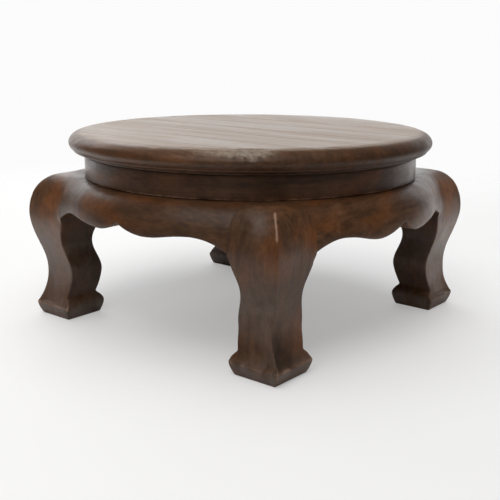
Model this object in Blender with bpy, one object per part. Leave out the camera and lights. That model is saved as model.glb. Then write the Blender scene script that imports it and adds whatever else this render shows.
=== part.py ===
"""A low round opium table: boarded top, recessed waist, bulging cusped aprons and four cabriole legs.

Metres, +Z up. The origin is on the floor under the centre of the top. The boards of the top run
along X, and the legs stand on the diagonals between the axes.
"""

import math

import bmesh
import bpy
from mathutils import Matrix

# Overall sizes
TABLE_HEIGHT = 0.260
TOP_DIAMETER = 0.500
JOINT_GAP = 0.0003

# Top: edge-joined boards with a moulded rim
BOARD_COUNT = 8
TOP_THICKNESS = 0.031
RIM_OVERHANG = 0.021
RIM_SHOULDER_WIDTH = 0.020
RIM_SHOULDER_DEPTH = 0.014
RIM_ARRIS_DEPTH = 0.0255
RIM_ARRIS_INSET = 0.006
RIM_FOOT_STEP = 0.001

# Loose tongues between the boards
TONGUE_WIDTH = 0.020
TONGUE_THICKNESS = 0.006
TONGUE_STOP = 0.030

# Battens under the top
BATTEN_OFFSET = 0.070
BATTEN_WIDTH = 0.030
BATTEN_HEIGHT = 0.020
BATTEN_CHAMFER = 0.005
BATTEN_CLEARANCE = 0.006
BATTEN_SCREW_COUNT = 4

# Waist: four arcs with loose keys
WAIST_HEIGHT = 0.029
WAIST_THICKNESS = 0.024
KEY_LENGTH = 0.028
KEY_HEIGHT = 0.010
KEY_THICKNESS = 0.008

# Aprons: bulging outside, leaning inside, cusped below
APRON_SHELF = 0.002
APRON_BULGE = 0.030
APRON_BULGE_DEPTH = 0.040
APRON_INNER_SETBACK = 0.002
APRON_INNER_LEAN = 0.018
APRON_LOBE_DEPTH = 0.0442
APRON_LOBE_OFFSET = 0.040
APRON_CUSP_RISE = 0.012
APRON_ARCH_RISE = 0.005
APRON_SPANDREL_LENGTH = 0.048
APRON_SPANDREL_DROP = 0.0155
TENON_LENGTH = 0.015
TENON_HEIGHT = 0.024
TENON_THICKNESS = 0.014
TENON_DROP = 0.010
TENON_COVER = 0.003

# Legs: heights above the floor, and reaches out from the inner face of the leg's top block
LEG_BEARING = 0.020
LEG_ARRIS = 0.002
LEG_CROWN_REACH = 0.040
LEG_KNEE_REACH = 0.071
LEG_ANKLE_REACH = 0.055
LEG_FOOT_REACH = 0.0665
LEG_SOLE_REACH = 0.061
LEG_KNEE_DROP = 0.0535
LEG_ANKLE_HEIGHT = 0.064
LEG_FOOT_HEIGHT = 0.017
LEG_NOTCH_HEIGHT = 0.030
LEG_THIGH_INSET = 0.0095
LEG_CALF_INSET = 0.001
LEG_NOTCH_INSET = 0.0085
LEG_TOE_INSET = 0.0005
LEG_SOLE_INSET = 0.005

# Dowels from the leg through the waist into the top
DOWEL_DIAMETER = 0.008
DOWEL_EDGE_INSET = 0.0085
DOWEL_IN_LEG = 0.013
DOWEL_IN_TOP = 0.014
DOWEL_CHAMFER = 0.001

# Corner braces behind each leg
BRACE_DEPTH = 0.031
BRACE_WIDTH = 0.110
BRACE_DROP = 0.032

# Wood screws
SCREW_DIAMETER = 0.0045
SCREW_HEAD_DIAMETER = 0.009
SCREW_HEAD_DEPTH = 0.003
SCREW_TIP_LENGTH = 0.005
SCREW_TIP_DIAMETER = 0.001
SCREW_RECESS = 0.0005
SCREW_BITE = 0.014
TOP_SCREW_LENGTH = 0.055
TOP_SCREW_OFFSET = 0.040
TOP_SCREW_SETBACK = 0.012
LEG_SCREW_LENGTH = 0.055
LEG_SCREW_DROP = 0.022

# Fineness of the curves
ARC_STEPS = 12
RIM_STEP_ANGLE = math.radians(4)
RIM_CURVE_STEPS = 6
APRON_STATIONS = 28
APRON_CURVE_STEPS = 6
APRON_INNER_STEPS = 3
LEG_CROWN_STEPS = 7
LEG_STEP_LENGTH = 0.012
ROUND_SIDES = 10
SMOOTH_ANGLE = math.radians(30)

# Curve exponents: a flare that grows faster than a straight line, and the curved apron fall
FLARE_POWER = 1.5
FALL_POWER = 2

# Extra length that lets a cutter pass clean through a face
CUTTER_OVERRUN = 0.004

# Levels and radii that follow from the sizes above
QUARTER_TURN = math.pi / 2
TOP_RADIUS = TOP_DIAMETER / 2
TOP_UNDERSIDE = TABLE_HEIGHT - TOP_THICKNESS
BOARD_WIDTH = TOP_DIAMETER / BOARD_COUNT
WAIST_RADIUS = TOP_RADIUS - RIM_OVERHANG
WAIST_BORE = WAIST_RADIUS - WAIST_THICKNESS
WAIST_FOOT = TOP_UNDERSIDE - WAIST_HEIGHT
LEG_TOP = WAIST_FOOT - JOINT_GAP
LEG_CORNER_RADIUS = WAIST_RADIUS - LEG_BEARING
LEG_FACE = LEG_CORNER_RADIUS / math.sqrt(2)
LEG_BLOCK_FOOT = LEG_TOP - APRON_LOBE_DEPTH + APRON_ARCH_RISE - APRON_SPANDREL_DROP
LEG_THIGH_HEIGHT = (LEG_BLOCK_FOOT + LEG_ANKLE_HEIGHT) / 2
DOWEL_CIRCLE = WAIST_RADIUS - DOWEL_EDGE_INSET
BRACE_FRONT = LEG_CORNER_RADIUS - BRACE_DEPTH
BRACE_FOOT = LEG_TOP - BRACE_DROP

CORNERS = ("back_right", "back_left", "front_left", "front_right")
SIDES = ("front", "right", "back", "left")


def clear_scene():
    """Remove every object that the scene starts with."""
    for thing in list(bpy.data.objects):
        bpy.data.objects.remove(thing, do_unlink=True)


def make_material(name, colour, roughness, metallic=0.0):
    """Plain surface with one colour."""
    material = bpy.data.materials.new(name)
    material.use_nodes = True
    shader = material.node_tree.nodes["Principled BSDF"]
    shader.inputs["Base Color"].default_value = (*colour, 1.0)
    shader.inputs["Roughness"].default_value = roughness
    shader.inputs["Metallic"].default_value = metallic
    return material


def mesh_from(shape, name):
    """Turn a bmesh into a mesh with outward faces, smooth over its gentle edges."""
    bmesh.ops.recalc_face_normals(shape, faces=shape.faces)
    mesh = bpy.data.meshes.new(name)
    shape.to_mesh(mesh)
    shape.free()
    mesh.shade_smooth()
    mesh.set_sharp_from_angle(angle=SMOOTH_ANGLE)
    return mesh


def add_object(name, mesh, material=None, parent=None):
    """Link a mesh into the scene as a named object."""
    thing = bpy.data.objects.new(name, mesh)
    bpy.context.scene.collection.objects.link(thing)
    if material:
        mesh.materials.clear()
        mesh.materials.append(material)
    thing.parent = parent
    return thing


def add_turned_copies(names, mesh, material, parent):
    """Four objects that share one mesh, each a quarter turn on from the last."""
    for index, name in enumerate(names):
        thing = add_object(name, mesh, material, parent)
        thing.rotation_euler.z = index * QUARTER_TURN


def skin(sections):
    """Closed body through a row of matching closed sections."""
    shape = bmesh.new()
    rings = [[shape.verts.new(point) for point in section] for section in sections]
    for near, far in zip(rings, rings[1:]):
        for index, corner in enumerate(near):
            following = (index + 1) % len(near)
            shape.faces.new((corner, near[following], far[following], far[index]))
    shape.faces.new(rings[0])
    shape.faces.new(rings[-1])
    return shape


def box(low, high):
    """Axis-aligned box between two opposite corners."""
    size = [top - bottom for bottom, top in zip(low, high)]
    middle = [(top + bottom) / 2 for bottom, top in zip(low, high)]
    shape = bmesh.new()
    matrix = Matrix.Translation(middle) @ Matrix.Diagonal((*size, 1))
    bmesh.ops.create_cube(shape, size=1, matrix=matrix)
    return shape


def spin(outline, sweep, start=0.0):
    """Arc-shaped body made by turning a closed outline of (radius, height) points about Z."""
    shape = bmesh.new()
    heading = Matrix.Rotation(start, 4, "Z")
    corners = [shape.verts.new((radius, 0, height)) for radius, height in outline]
    shape.faces.new(corners)
    bmesh.ops.transform(shape, matrix=heading, verts=shape.verts)
    geometry = shape.verts[:] + shape.edges[:] + shape.faces[:]
    bmesh.ops.spin(shape, geom=geometry, axis=(0, 0, 1), angle=sweep, steps=ARC_STEPS)
    return shape


def rod(profile):
    """Round solid about Z through (radius, height) points, which end in flat discs."""
    sections = []
    for radius, height in profile:
        ring = []
        for side in range(ROUND_SIDES):
            angle = math.tau * side / ROUND_SIDES
            ring.append((radius * math.cos(angle), radius * math.sin(angle), height))
        sections.append(ring)
    return skin(sections)


def boolean(mesh, tools, operation):
    """New mesh from a mesh and a list of tool shapes that are joined to it or cut out of it."""
    body = add_object("body", mesh)
    helpers = [add_object("tool", mesh_from(shape, "tool")) for shape in tools]
    for helper in helpers:
        modifier = body.modifiers.new(operation.lower(), "BOOLEAN")
        modifier.operation = operation
        modifier.solver = "EXACT"
        modifier.object = helper
    graph = bpy.context.evaluated_depsgraph_get()
    result = bpy.data.meshes.new_from_object(body.evaluated_get(graph))
    for thing in [body, *helpers]:
        bpy.data.objects.remove(thing, do_unlink=True)
    return result


def moved(shape, matrix):
    """The same shape after a move or a turn."""
    bmesh.ops.transform(shape, matrix=matrix, verts=shape.verts)
    return shape


def quarter_turns(make_shape):
    """Four copies of a shape, one for each quarter turn about Z."""
    return [
        moved(make_shape(), Matrix.Rotation(index * QUARTER_TURN, 4, "Z")) for index in range(len(CORNERS))
    ]


def ease(share):
    """Smooth climb from 0 to 1 that starts and ends level."""
    return (1 - math.cos(math.pi * share)) / 2


def blend(low, high, share):
    """Value between two others."""
    return low + (high - low) * share


def rim_profile():
    """Edge of the top from its underside to its upper face, as (radius, height) points."""
    shoulder_radius = TOP_RADIUS - RIM_SHOULDER_WIDTH
    widest_height = TABLE_HEIGHT - RIM_SHOULDER_DEPTH
    belly_depth = RIM_ARRIS_DEPTH - RIM_SHOULDER_DEPTH
    profile = [(WAIST_RADIUS + RIM_FOOT_STEP, TOP_UNDERSIDE + JOINT_GAP)]
    for step in range(RIM_CURVE_STEPS):
        share = step / RIM_CURVE_STEPS
        inset = RIM_ARRIS_INSET * (1 - share) ** FALL_POWER
        profile.append((TOP_RADIUS - inset, widest_height - belly_depth * (1 - share)))
    for step in range(RIM_CURVE_STEPS + 1):
        angle = QUARTER_TURN * step / RIM_CURVE_STEPS
        radius = shoulder_radius + RIM_SHOULDER_WIDTH * math.cos(angle)
        profile.append((radius, widest_height + RIM_SHOULDER_DEPTH * math.sin(angle)))
    return profile


def board_section(radius, height, near, far):
    """Level slice of a board: the strip of a disc between two lines of constant y."""
    first = math.asin(max(near / radius, -1.0))
    last = math.asin(min(far / radius, 1.0))
    widest = math.asin(min(far / TOP_RADIUS, 1.0)) - math.asin(max(near / TOP_RADIUS, -1.0))
    steps = math.ceil(widest / RIM_STEP_ANGLE)
    angles = [blend(first, last, step / steps) for step in range(steps + 1)]
    right = [(radius * math.cos(angle), radius * math.sin(angle), height) for angle in angles]
    left = [(-x, y, z) for x, y, z in reversed(right)]
    if far >= TOP_RADIUS:
        left = left[1:]
    if near <= -TOP_RADIUS:
        left = left[:-1]
    return right + left


def seam_lines():
    """Places along Y of the joints between the boards."""
    return [-TOP_RADIUS + BOARD_WIDTH * index for index in range(1, BOARD_COUNT)]


def tongue_box(seam, clearance):
    """Loose tongue at a seam, or the groove that takes it."""
    length = math.sqrt(TOP_RADIUS**2 - seam**2) - TONGUE_STOP + clearance
    half_width = TONGUE_WIDTH / 2 + clearance
    half_thickness = TONGUE_THICKNESS / 2 + clearance
    middle = TOP_UNDERSIDE + TOP_THICKNESS / 2
    low = (-length, seam - half_width, middle - half_thickness)
    high = (length, seam + half_width, middle + half_thickness)
    return box(low, high)


def screw_shape(length, clearance, head_room=0.0):
    """Countersunk screw with its head at the origin and its point up, or the hole that takes it."""
    shank = SCREW_DIAMETER / 2 + clearance
    head = SCREW_HEAD_DIAMETER / 2 + clearance
    tip = SCREW_TIP_DIAMETER / 2 + clearance
    profile = [(head, -head_room - clearance)]
    if head_room:
        profile.append((head, clearance))
    profile.append((shank, SCREW_HEAD_DEPTH + clearance))
    profile.append((shank, length - SCREW_TIP_LENGTH))
    profile.append((tip, length + clearance))
    return rod(profile)


def screw_points_on_battens():
    """Places of the screws under both battens, as (x, y): one in the middle of each middle board."""
    first = (1 - BATTEN_SCREW_COUNT) / 2
    rows = [(first + index) * BOARD_WIDTH for index in range(BATTEN_SCREW_COUNT)]
    return [(side * BATTEN_OFFSET, row) for side in (-1, 1) for row in rows]


def batten_screw(point, clearance, head_room=0.0):
    """Screw up through a batten into the top, or its hole."""
    head_height = TOP_UNDERSIDE - BATTEN_HEIGHT + SCREW_RECESS
    length = TOP_UNDERSIDE + SCREW_BITE - head_height
    return moved(screw_shape(length, clearance, head_room), Matrix.Translation((*point, head_height)))


def top_screw(clearance, head_room=0.0):
    """Screw up through the first corner's brace into the top, or its hole."""
    along = BRACE_FRONT + TOP_SCREW_SETBACK
    head_height = TOP_UNDERSIDE + SCREW_BITE - TOP_SCREW_LENGTH
    heading = Matrix.Rotation(QUARTER_TURN / 2, 4, "Z")
    place = heading @ Matrix.Translation((along, TOP_SCREW_OFFSET, head_height))
    return moved(screw_shape(TOP_SCREW_LENGTH, clearance, head_room), place)


def leg_screw(clearance, head_room=0.0):
    """Screw out through the first corner's brace into the leg, or its hole."""
    lying = Matrix.Rotation(QUARTER_TURN, 4, "Y")
    heading = Matrix.Rotation(QUARTER_TURN / 2, 4, "Z")
    start = Matrix.Translation((BRACE_FRONT + SCREW_RECESS, 0, LEG_TOP - LEG_SCREW_DROP))
    return moved(screw_shape(LEG_SCREW_LENGTH, clearance, head_room), heading @ start @ lying)


def dowel(clearance):
    """Pin of the first corner from the leg through the waist into the top, or its hole."""
    radius = DOWEL_DIAMETER / 2 + clearance
    low = LEG_TOP - DOWEL_IN_LEG - clearance
    high = TOP_UNDERSIDE + DOWEL_IN_TOP + clearance
    end_radius = radius - DOWEL_CHAMFER
    profile = [
        (end_radius, low),
        (radius, low + DOWEL_CHAMFER),
        (radius, high - DOWEL_CHAMFER),
        (end_radius, high),
    ]
    heading = Matrix.Rotation(QUARTER_TURN / 2, 4, "Z")
    return moved(rod(profile), heading @ Matrix.Translation((DOWEL_CIRCLE, 0, 0)))


def build_top(parent, board_wood, hidden_wood):
    """Boards of the top and the loose tongues between them."""
    seams = seam_lines()
    lines = [-TOP_RADIUS, *seams, TOP_RADIUS]
    profile = rim_profile()
    for index in range(BOARD_COUNT):
        near = lines[index] + (JOINT_GAP / 2 if index > 0 else 0)
        far = lines[index + 1] - (JOINT_GAP / 2 if index < BOARD_COUNT - 1 else 0)
        sections = [board_section(radius, height, near, far) for radius, height in profile]
        name = f"top_board_{index + 1}"
        cuts = [tongue_box(seam, JOINT_GAP) for seam in seams if seam in lines[index : index + 2]]
        cuts += quarter_turns(lambda: dowel(JOINT_GAP))
        cuts += quarter_turns(lambda: top_screw(JOINT_GAP))
        cuts += [batten_screw(point, JOINT_GAP) for point in screw_points_on_battens()]
        mesh = boolean(mesh_from(skin(sections), name), cuts, "DIFFERENCE")
        add_object(name, mesh, board_wood, parent)
    for index, seam in enumerate(seams):
        name = f"top_tongue_{index + 1}"
        add_object(name, mesh_from(tongue_box(seam, 0), name), hidden_wood, parent)


def batten_section(y):
    """Slice across a batten, chamfered along its two lower edges."""
    half = BATTEN_WIDTH / 2
    foot = TOP_UNDERSIDE - BATTEN_HEIGHT
    outline = [
        (-half, TOP_UNDERSIDE),
        (half, TOP_UNDERSIDE),
        (half, foot + BATTEN_CHAMFER),
        (half - BATTEN_CHAMFER, foot),
        (BATTEN_CHAMFER - half, foot),
        (-half, foot + BATTEN_CHAMFER),
    ]
    return [(x, y, z) for x, z in outline]


def build_battens(parent, hidden_wood, steel):
    """Two battens across the boards, and their screws."""
    reach = math.sqrt(2) * (BRACE_FRONT - BATTEN_CLEARANCE) - BATTEN_OFFSET - BATTEN_WIDTH / 2
    for side, label in ((-1, "left"), (1, "right")):
        points = [point for point in screw_points_on_battens() if point[0] * side > 0]
        shape = skin([batten_section(-reach), batten_section(reach)])
        shape = moved(shape, Matrix.Translation((side * BATTEN_OFFSET, 0, 0)))
        cuts = [batten_screw(point, JOINT_GAP, CUTTER_OVERRUN) for point in points]
        name = f"top_batten_{label}"
        add_object(name, boolean(mesh_from(shape, name), cuts, "DIFFERENCE"), hidden_wood, parent)
        for index, point in enumerate(points):
            name = f"batten_screw_{label}_{index + 1}"
            add_object(name, mesh_from(batten_screw(point, 0), name), steel, parent)


def waist_key(clearance):
    """Loose key across the waist joint on the X axis, or the slot that takes it."""
    middle_radius = WAIST_RADIUS - WAIST_THICKNESS / 2
    middle_height = WAIST_FOOT + WAIST_HEIGHT / 2
    half = [
        KEY_THICKNESS / 2 + clearance,
        KEY_LENGTH / 2 + clearance,
        KEY_HEIGHT / 2 + clearance,
    ]
    middle = (middle_radius, 0, middle_height)
    low = [place - size for place, size in zip(middle, half)]
    high = [place + size for place, size in zip(middle, half)]
    return box(low, high)


def build_waist(parent, frame_wood, hidden_wood):
    """Four quarter arcs of the recessed waist, keyed end to end."""
    outline = [
        (WAIST_BORE, WAIST_FOOT),
        (WAIST_RADIUS, WAIST_FOOT),
        (WAIST_RADIUS, TOP_UNDERSIDE),
        (WAIST_BORE, TOP_UNDERSIDE),
    ]
    end_angle = JOINT_GAP / WAIST_BORE
    arc = mesh_from(spin(outline, QUARTER_TURN - 2 * end_angle, end_angle), "waist_arc")
    slots = [waist_key(JOINT_GAP), moved(waist_key(JOINT_GAP), Matrix.Rotation(QUARTER_TURN, 4, "Z"))]
    arc = boolean(arc, [*slots, dowel(JOINT_GAP)], "DIFFERENCE")
    add_turned_copies([f"waist_arc_{corner}" for corner in CORNERS], arc, frame_wood, parent)
    key = mesh_from(waist_key(0), "waist_key")
    sides_from_right = SIDES[1:] + SIDES[:1]
    add_turned_copies([f"waist_key_{side}" for side in sides_from_right], key, hidden_wood, parent)


def apron_edge_height(x):
    """Height of the apron's lower edge: a cusp, two lobes, a low arch and a fall to each leg."""
    across = abs(x)
    lobe = LEG_TOP - APRON_LOBE_DEPTH
    arch_end = LEG_FACE - APRON_SPANDREL_LENGTH
    if across < APRON_LOBE_OFFSET:
        return lobe + APRON_CUSP_RISE * (1 - across / APRON_LOBE_OFFSET) ** FALL_POWER
    if across < arch_end:
        share = (across - APRON_LOBE_OFFSET) / (arch_end - APRON_LOBE_OFFSET)
        return lobe + APRON_ARCH_RISE * ease(share)
    share = (across - arch_end) / APRON_SPANDREL_LENGTH
    return lobe + APRON_ARCH_RISE - APRON_SPANDREL_DROP * share**FALL_POWER


def apron_inner_radius(height):
    """Radius of the apron's leaning inner face."""
    lean = APRON_INNER_LEAN / APRON_LOBE_DEPTH
    return LEG_CORNER_RADIUS + APRON_INNER_SETBACK + (LEG_TOP - height) * lean


def apron_section(x):
    """Slice of the front apron at one place along X."""
    edge = apron_edge_height(x)
    crown_radius = WAIST_RADIUS + APRON_SHELF
    bulge = APRON_BULGE - APRON_SHELF
    fullest = LEG_TOP - APRON_BULGE_DEPTH
    rise = (edge - fullest) / APRON_BULGE_DEPTH
    lowest_angle = math.asin(rise) if rise > 0 else rise
    outline = []
    for step in range(APRON_INNER_STEPS + 1):
        height = blend(edge, LEG_TOP, step / APRON_INNER_STEPS)
        outline.append((apron_inner_radius(height), height))
    for step in range(APRON_CURVE_STEPS + 1):
        angle = blend(QUARTER_TURN, lowest_angle, step / APRON_CURVE_STEPS)
        rise = math.sin(angle) if angle > 0 else angle
        outline.append((crown_radius + bulge * math.cos(angle), fullest + APRON_BULGE_DEPTH * rise))
    return [(x, -math.sqrt(radius**2 - x**2), height) for radius, height in outline]


def tenon_box(end, clearance):
    """Stub tenon at one end of the front apron, just inside its inner face, or the mortise for it."""
    root = LEG_FACE - CUTTER_OVERRUN
    tip = LEG_FACE + TENON_LENGTH + clearance
    head = LEG_TOP - TENON_DROP
    foot = head - TENON_HEIGHT
    inner = -math.sqrt(apron_inner_radius(foot) ** 2 - root**2) - TENON_COVER
    outer = inner - TENON_THICKNESS
    low = (min(end * root, end * tip), outer - clearance, foot - clearance)
    high = (max(end * root, end * tip), inner + clearance, head + clearance)
    return box(low, high)


def build_aprons(parent, frame_wood):
    """Four bulging aprons with a stub tenon at each end."""
    reach = LEG_FACE - JOINT_GAP
    stations = [blend(-reach, reach, step / APRON_STATIONS) for step in range(APRON_STATIONS + 1)]
    body = mesh_from(skin([apron_section(x) for x in stations]), "apron")
    apron = boolean(body, [tenon_box(-1, 0), tenon_box(1, 0)], "UNION")
    add_turned_copies([f"apron_{side}" for side in SIDES], apron, frame_wood, parent)


def leg_outer_reach(height):
    """How far the leg's outer faces stand from the inner face of its top block."""
    knee = LEG_TOP - LEG_KNEE_DROP
    if height >= knee:
        share = min((height - knee) / LEG_KNEE_DROP, 1.0)
        return blend(LEG_CROWN_REACH, LEG_KNEE_REACH, math.sqrt(1 - share**2))
    if height >= LEG_ANKLE_HEIGHT:
        share = (height - LEG_ANKLE_HEIGHT) / (knee - LEG_ANKLE_HEIGHT)
        return blend(LEG_ANKLE_REACH, LEG_KNEE_REACH, ease(share))
    if height >= LEG_FOOT_HEIGHT:
        share = (LEG_ANKLE_HEIGHT - height) / (LEG_ANKLE_HEIGHT - LEG_FOOT_HEIGHT)
        return blend(LEG_ANKLE_REACH, LEG_FOOT_REACH, share**FLARE_POWER)
    share = (LEG_FOOT_HEIGHT - height) / LEG_FOOT_HEIGHT
    return blend(LEG_FOOT_REACH, LEG_SOLE_REACH, share**FLARE_POWER)


def leg_inner_inset(height):
    """How far the leg's inner faces lie outside the inner face of its top block."""
    if height >= LEG_BLOCK_FOOT:
        return 0.0
    if height >= LEG_THIGH_HEIGHT:
        share = (LEG_BLOCK_FOOT - height) / (LEG_BLOCK_FOOT - LEG_THIGH_HEIGHT)
        return LEG_THIGH_INSET * ease(share)
    if height >= LEG_ANKLE_HEIGHT:
        share = (LEG_THIGH_HEIGHT - height) / (LEG_THIGH_HEIGHT - LEG_ANKLE_HEIGHT)
        return blend(LEG_THIGH_INSET, LEG_CALF_INSET, ease(share))
    if height >= LEG_NOTCH_HEIGHT:
        share = (LEG_ANKLE_HEIGHT - height) / (LEG_ANKLE_HEIGHT - LEG_NOTCH_HEIGHT)
        return blend(LEG_CALF_INSET, LEG_NOTCH_INSET, share**FLARE_POWER)
    if height >= LEG_FOOT_HEIGHT:
        share = (height - LEG_FOOT_HEIGHT) / (LEG_NOTCH_HEIGHT - LEG_FOOT_HEIGHT)
        return blend(LEG_TOE_INSET, LEG_NOTCH_INSET, share**FALL_POWER)
    share = (LEG_FOOT_HEIGHT - height) / LEG_FOOT_HEIGHT
    return blend(LEG_TOE_INSET, LEG_SOLE_INSET, share**FLARE_POWER)


def leg_heights():
    """Heights of the leg's slices, closer together where the crown rounds over."""
    knee = LEG_TOP - LEG_KNEE_DROP
    turns = [
        0.0,
        LEG_FOOT_HEIGHT,
        LEG_NOTCH_HEIGHT,
        LEG_ANKLE_HEIGHT,
        LEG_THIGH_HEIGHT,
        LEG_BLOCK_FOOT,
        knee,
    ]
    turns.sort()
    heights = []
    for low, high in zip(turns, turns[1:]):
        steps = math.ceil((high - low) / LEG_STEP_LENGTH)
        heights += [blend(low, high, step / steps) for step in range(steps)]
    for step in range(LEG_CROWN_STEPS + 1):
        angle = QUARTER_TURN * step / LEG_CROWN_STEPS
        heights.append(knee + LEG_KNEE_DROP * math.sin(angle))
    return heights


def leg_section(height):
    """Level slice of the first leg: a square with small flats on its four edges."""
    inner = LEG_FACE + leg_inner_inset(height)
    outer = LEG_FACE + leg_outer_reach(height)
    near = inner + LEG_ARRIS
    far = outer - LEG_ARRIS
    outline = [
        (near, inner),
        (far, inner),
        (outer, near),
        (outer, far),
        (far, outer),
        (near, outer),
        (inner, far),
        (inner, near),
    ]
    return [(x, y, height) for x, y in outline]


def build_legs(parent, frame_wood, hidden_wood):
    """Four cabriole legs with mortises for the aprons, and the dowels in their tops."""
    body = mesh_from(skin([leg_section(height) for height in leg_heights()]), "leg")
    half_turn = Matrix.Rotation(math.pi, 4, "Z")
    quarter_turn = Matrix.Rotation(QUARTER_TURN, 4, "Z")
    mortises = [
        moved(tenon_box(-1, JOINT_GAP), half_turn),
        moved(tenon_box(1, JOINT_GAP), quarter_turn),
    ]
    leg = boolean(body, [*mortises, dowel(JOINT_GAP), leg_screw(JOINT_GAP)], "DIFFERENCE")
    add_turned_copies([f"leg_{corner}" for corner in CORNERS], leg, frame_wood, parent)
    pin = mesh_from(dowel(0), "leg_dowel")
    add_turned_copies([f"leg_dowel_{corner}" for corner in CORNERS], pin, hidden_wood, parent)


def build_braces(parent, hidden_wood, steel):
    """Corner braces that fit the aprons, the waist and the leg's inner corner, and their screws."""
    front = BRACE_FRONT / math.sqrt(2)
    outline = [
        (front, BRACE_FOOT),
        (apron_inner_radius(BRACE_FOOT) - JOINT_GAP, BRACE_FOOT),
        (apron_inner_radius(LEG_TOP) - JOINT_GAP, LEG_TOP),
        (WAIST_BORE - JOINT_GAP, LEG_TOP),
        (WAIST_BORE - JOINT_GAP, TOP_UNDERSIDE),
        (front, TOP_UNDERSIDE),
    ]
    heading = Matrix.Rotation(QUARTER_TURN / 2, 4, "Z")
    half_width = BRACE_WIDTH / 2
    low = BRACE_FOOT - CUTTER_OVERRUN
    high = TOP_UNDERSIDE + CUTTER_OVERRUN
    trim = moved(box((BRACE_FRONT, -half_width, low), (TOP_RADIUS, half_width, high)), heading)
    brace = boolean(mesh_from(spin(outline, QUARTER_TURN), "corner_brace"), [trim], "INTERSECT")
    leg_corner = LEG_FACE - JOINT_GAP
    cuts = [
        box((leg_corner, leg_corner, low), (TOP_RADIUS, TOP_RADIUS, high)),
        leg_screw(JOINT_GAP, CUTTER_OVERRUN),
        top_screw(JOINT_GAP, TOP_SCREW_LENGTH),
    ]
    brace = boolean(brace, cuts, "DIFFERENCE")
    add_turned_copies([f"corner_brace_{corner}" for corner in CORNERS], brace, hidden_wood, parent)
    screw = mesh_from(leg_screw(0), "leg_screw")
    add_turned_copies([f"leg_screw_{corner}" for corner in CORNERS], screw, steel, parent)
    screw = mesh_from(top_screw(0), "top_screw")
    add_turned_copies([f"top_screw_{corner}" for corner in CORNERS], screw, steel, parent)


def main():
    clear_scene()
    board_wood = make_material("top_wood", (0.107, 0.061, 0.042), 0.35)
    frame_wood = make_material("frame_wood", (0.076, 0.038, 0.023), 0.42)
    hidden_wood = make_material("hidden_wood", (0.188, 0.091, 0.045), 0.7)
    steel = make_material("screw_steel", (0.35, 0.34, 0.33), 0.4, 1.0)
    table = bpy.data.objects.new("opium_table", None)
    bpy.context.scene.collection.objects.link(table)
    build_top(table, board_wood, hidden_wood)
    build_battens(table, hidden_wood, steel)
    build_waist(table, frame_wood, hidden_wood)
    build_aprons(table, frame_wood)
    build_legs(table, frame_wood, hidden_wood)
    build_braces(table, hidden_wood, steel)


main()
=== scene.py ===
"""Finished looks for a low round opium table: worn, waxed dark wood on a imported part.

Laid out as an add-on and run as a script. The boards, waist, aprons, legs, underside and screws are
modelled in the part's own frame, in metres, and stand for the plain solids of the part.
"""

import math

import bmesh
import bpy
import numpy as np
from bpy.props import FloatProperty, FloatVectorProperty, IntProperty, PointerProperty
from mathutils import Matrix, Quaternion, Vector


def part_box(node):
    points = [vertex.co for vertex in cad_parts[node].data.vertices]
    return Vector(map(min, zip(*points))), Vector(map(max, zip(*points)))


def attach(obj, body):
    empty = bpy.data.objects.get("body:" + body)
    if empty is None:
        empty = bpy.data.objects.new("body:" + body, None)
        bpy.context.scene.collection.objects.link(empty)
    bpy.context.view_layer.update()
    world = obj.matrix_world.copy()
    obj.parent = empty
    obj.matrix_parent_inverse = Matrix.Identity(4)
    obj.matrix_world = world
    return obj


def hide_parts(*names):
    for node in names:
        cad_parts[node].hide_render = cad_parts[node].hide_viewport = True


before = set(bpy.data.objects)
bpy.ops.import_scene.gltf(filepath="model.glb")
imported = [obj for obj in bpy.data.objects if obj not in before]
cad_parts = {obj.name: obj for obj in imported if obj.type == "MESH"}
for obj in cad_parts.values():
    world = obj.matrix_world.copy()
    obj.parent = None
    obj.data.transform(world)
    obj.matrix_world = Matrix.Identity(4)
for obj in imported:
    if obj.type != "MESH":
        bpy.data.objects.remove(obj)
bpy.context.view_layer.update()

bl_info = {
    "name": "Opium table finish",
    "version": (1, 0, 0),
    "blender": (4, 5, 0),
    "location": "3D View > Sidebar > Opium Table",
    "description": "Models the visible pieces of a low round table and finishes them in worn dark wood",
    "category": "Object",
}

# Names round the table, in the order of the quarter turns
CORNERS = ("back_right", "back_left", "front_left", "front_right")
SIDES = ("front", "right", "back", "left")
BODY = "root"
QUARTER_TURN = math.pi / 2
EIGHTH_TURN = math.pi / 4

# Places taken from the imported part
MIDDLE_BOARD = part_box("top_board_4")
FIRST_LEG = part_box("leg_back_right")
FIRST_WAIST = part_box("waist_arc_back_right")
TABLE_HEIGHT = MIDDLE_BOARD[1].z
TOP_RADIUS = MIDDLE_BOARD[1].x
TOP_UNDERSIDE = MIDDLE_BOARD[0].z
WAIST_RADIUS = FIRST_WAIST[1].x
WAIST_FOOT = FIRST_WAIST[0].z
WAIST_HEAD = FIRST_WAIST[1].z
LEG_FACE = FIRST_LEG[0].x
LEG_TOP = FIRST_LEG[1].z
KNEE_REACH = FIRST_LEG[1].x - LEG_FACE
TOUCH = 1e-5

# Stain, partly painted light, and hand work that differ from one apron to the next, in the order of SIDES
APRON_TONE_AND_LIGHT = (-0.12, 0.30, 0.05, -0.05)
CUSP_STRAY = (0.0095, -0.024, 0.004, -0.005)
EDGE_DROP = (0.0, 0.0055, 0.001, 0.002)

# Stain with painted light and shade, greying with painted sheen, and hand work that differ from one leg to
# the next, in the order of CORNERS
LEG_TONE_AND_LIGHT = ((0.6, 0.15, -0.15), (0.0, 0.0, -0.1), (0.0, 0.16, -0.25), (-0.06, 0.3, 0.0))
RIDGE_STRAY = (0.4, -0.5, -0.3, 1.0)
HOLLOW_SHARE = (0.2, 0.4, 0.1, 1.0)
KNEE_SCUFF_AND_SHEEN = (0.3, 0.2, 0.0, 1.6)
STOUT_FOOT = (-0.015, 0.0, 0.02, 0.075)

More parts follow.
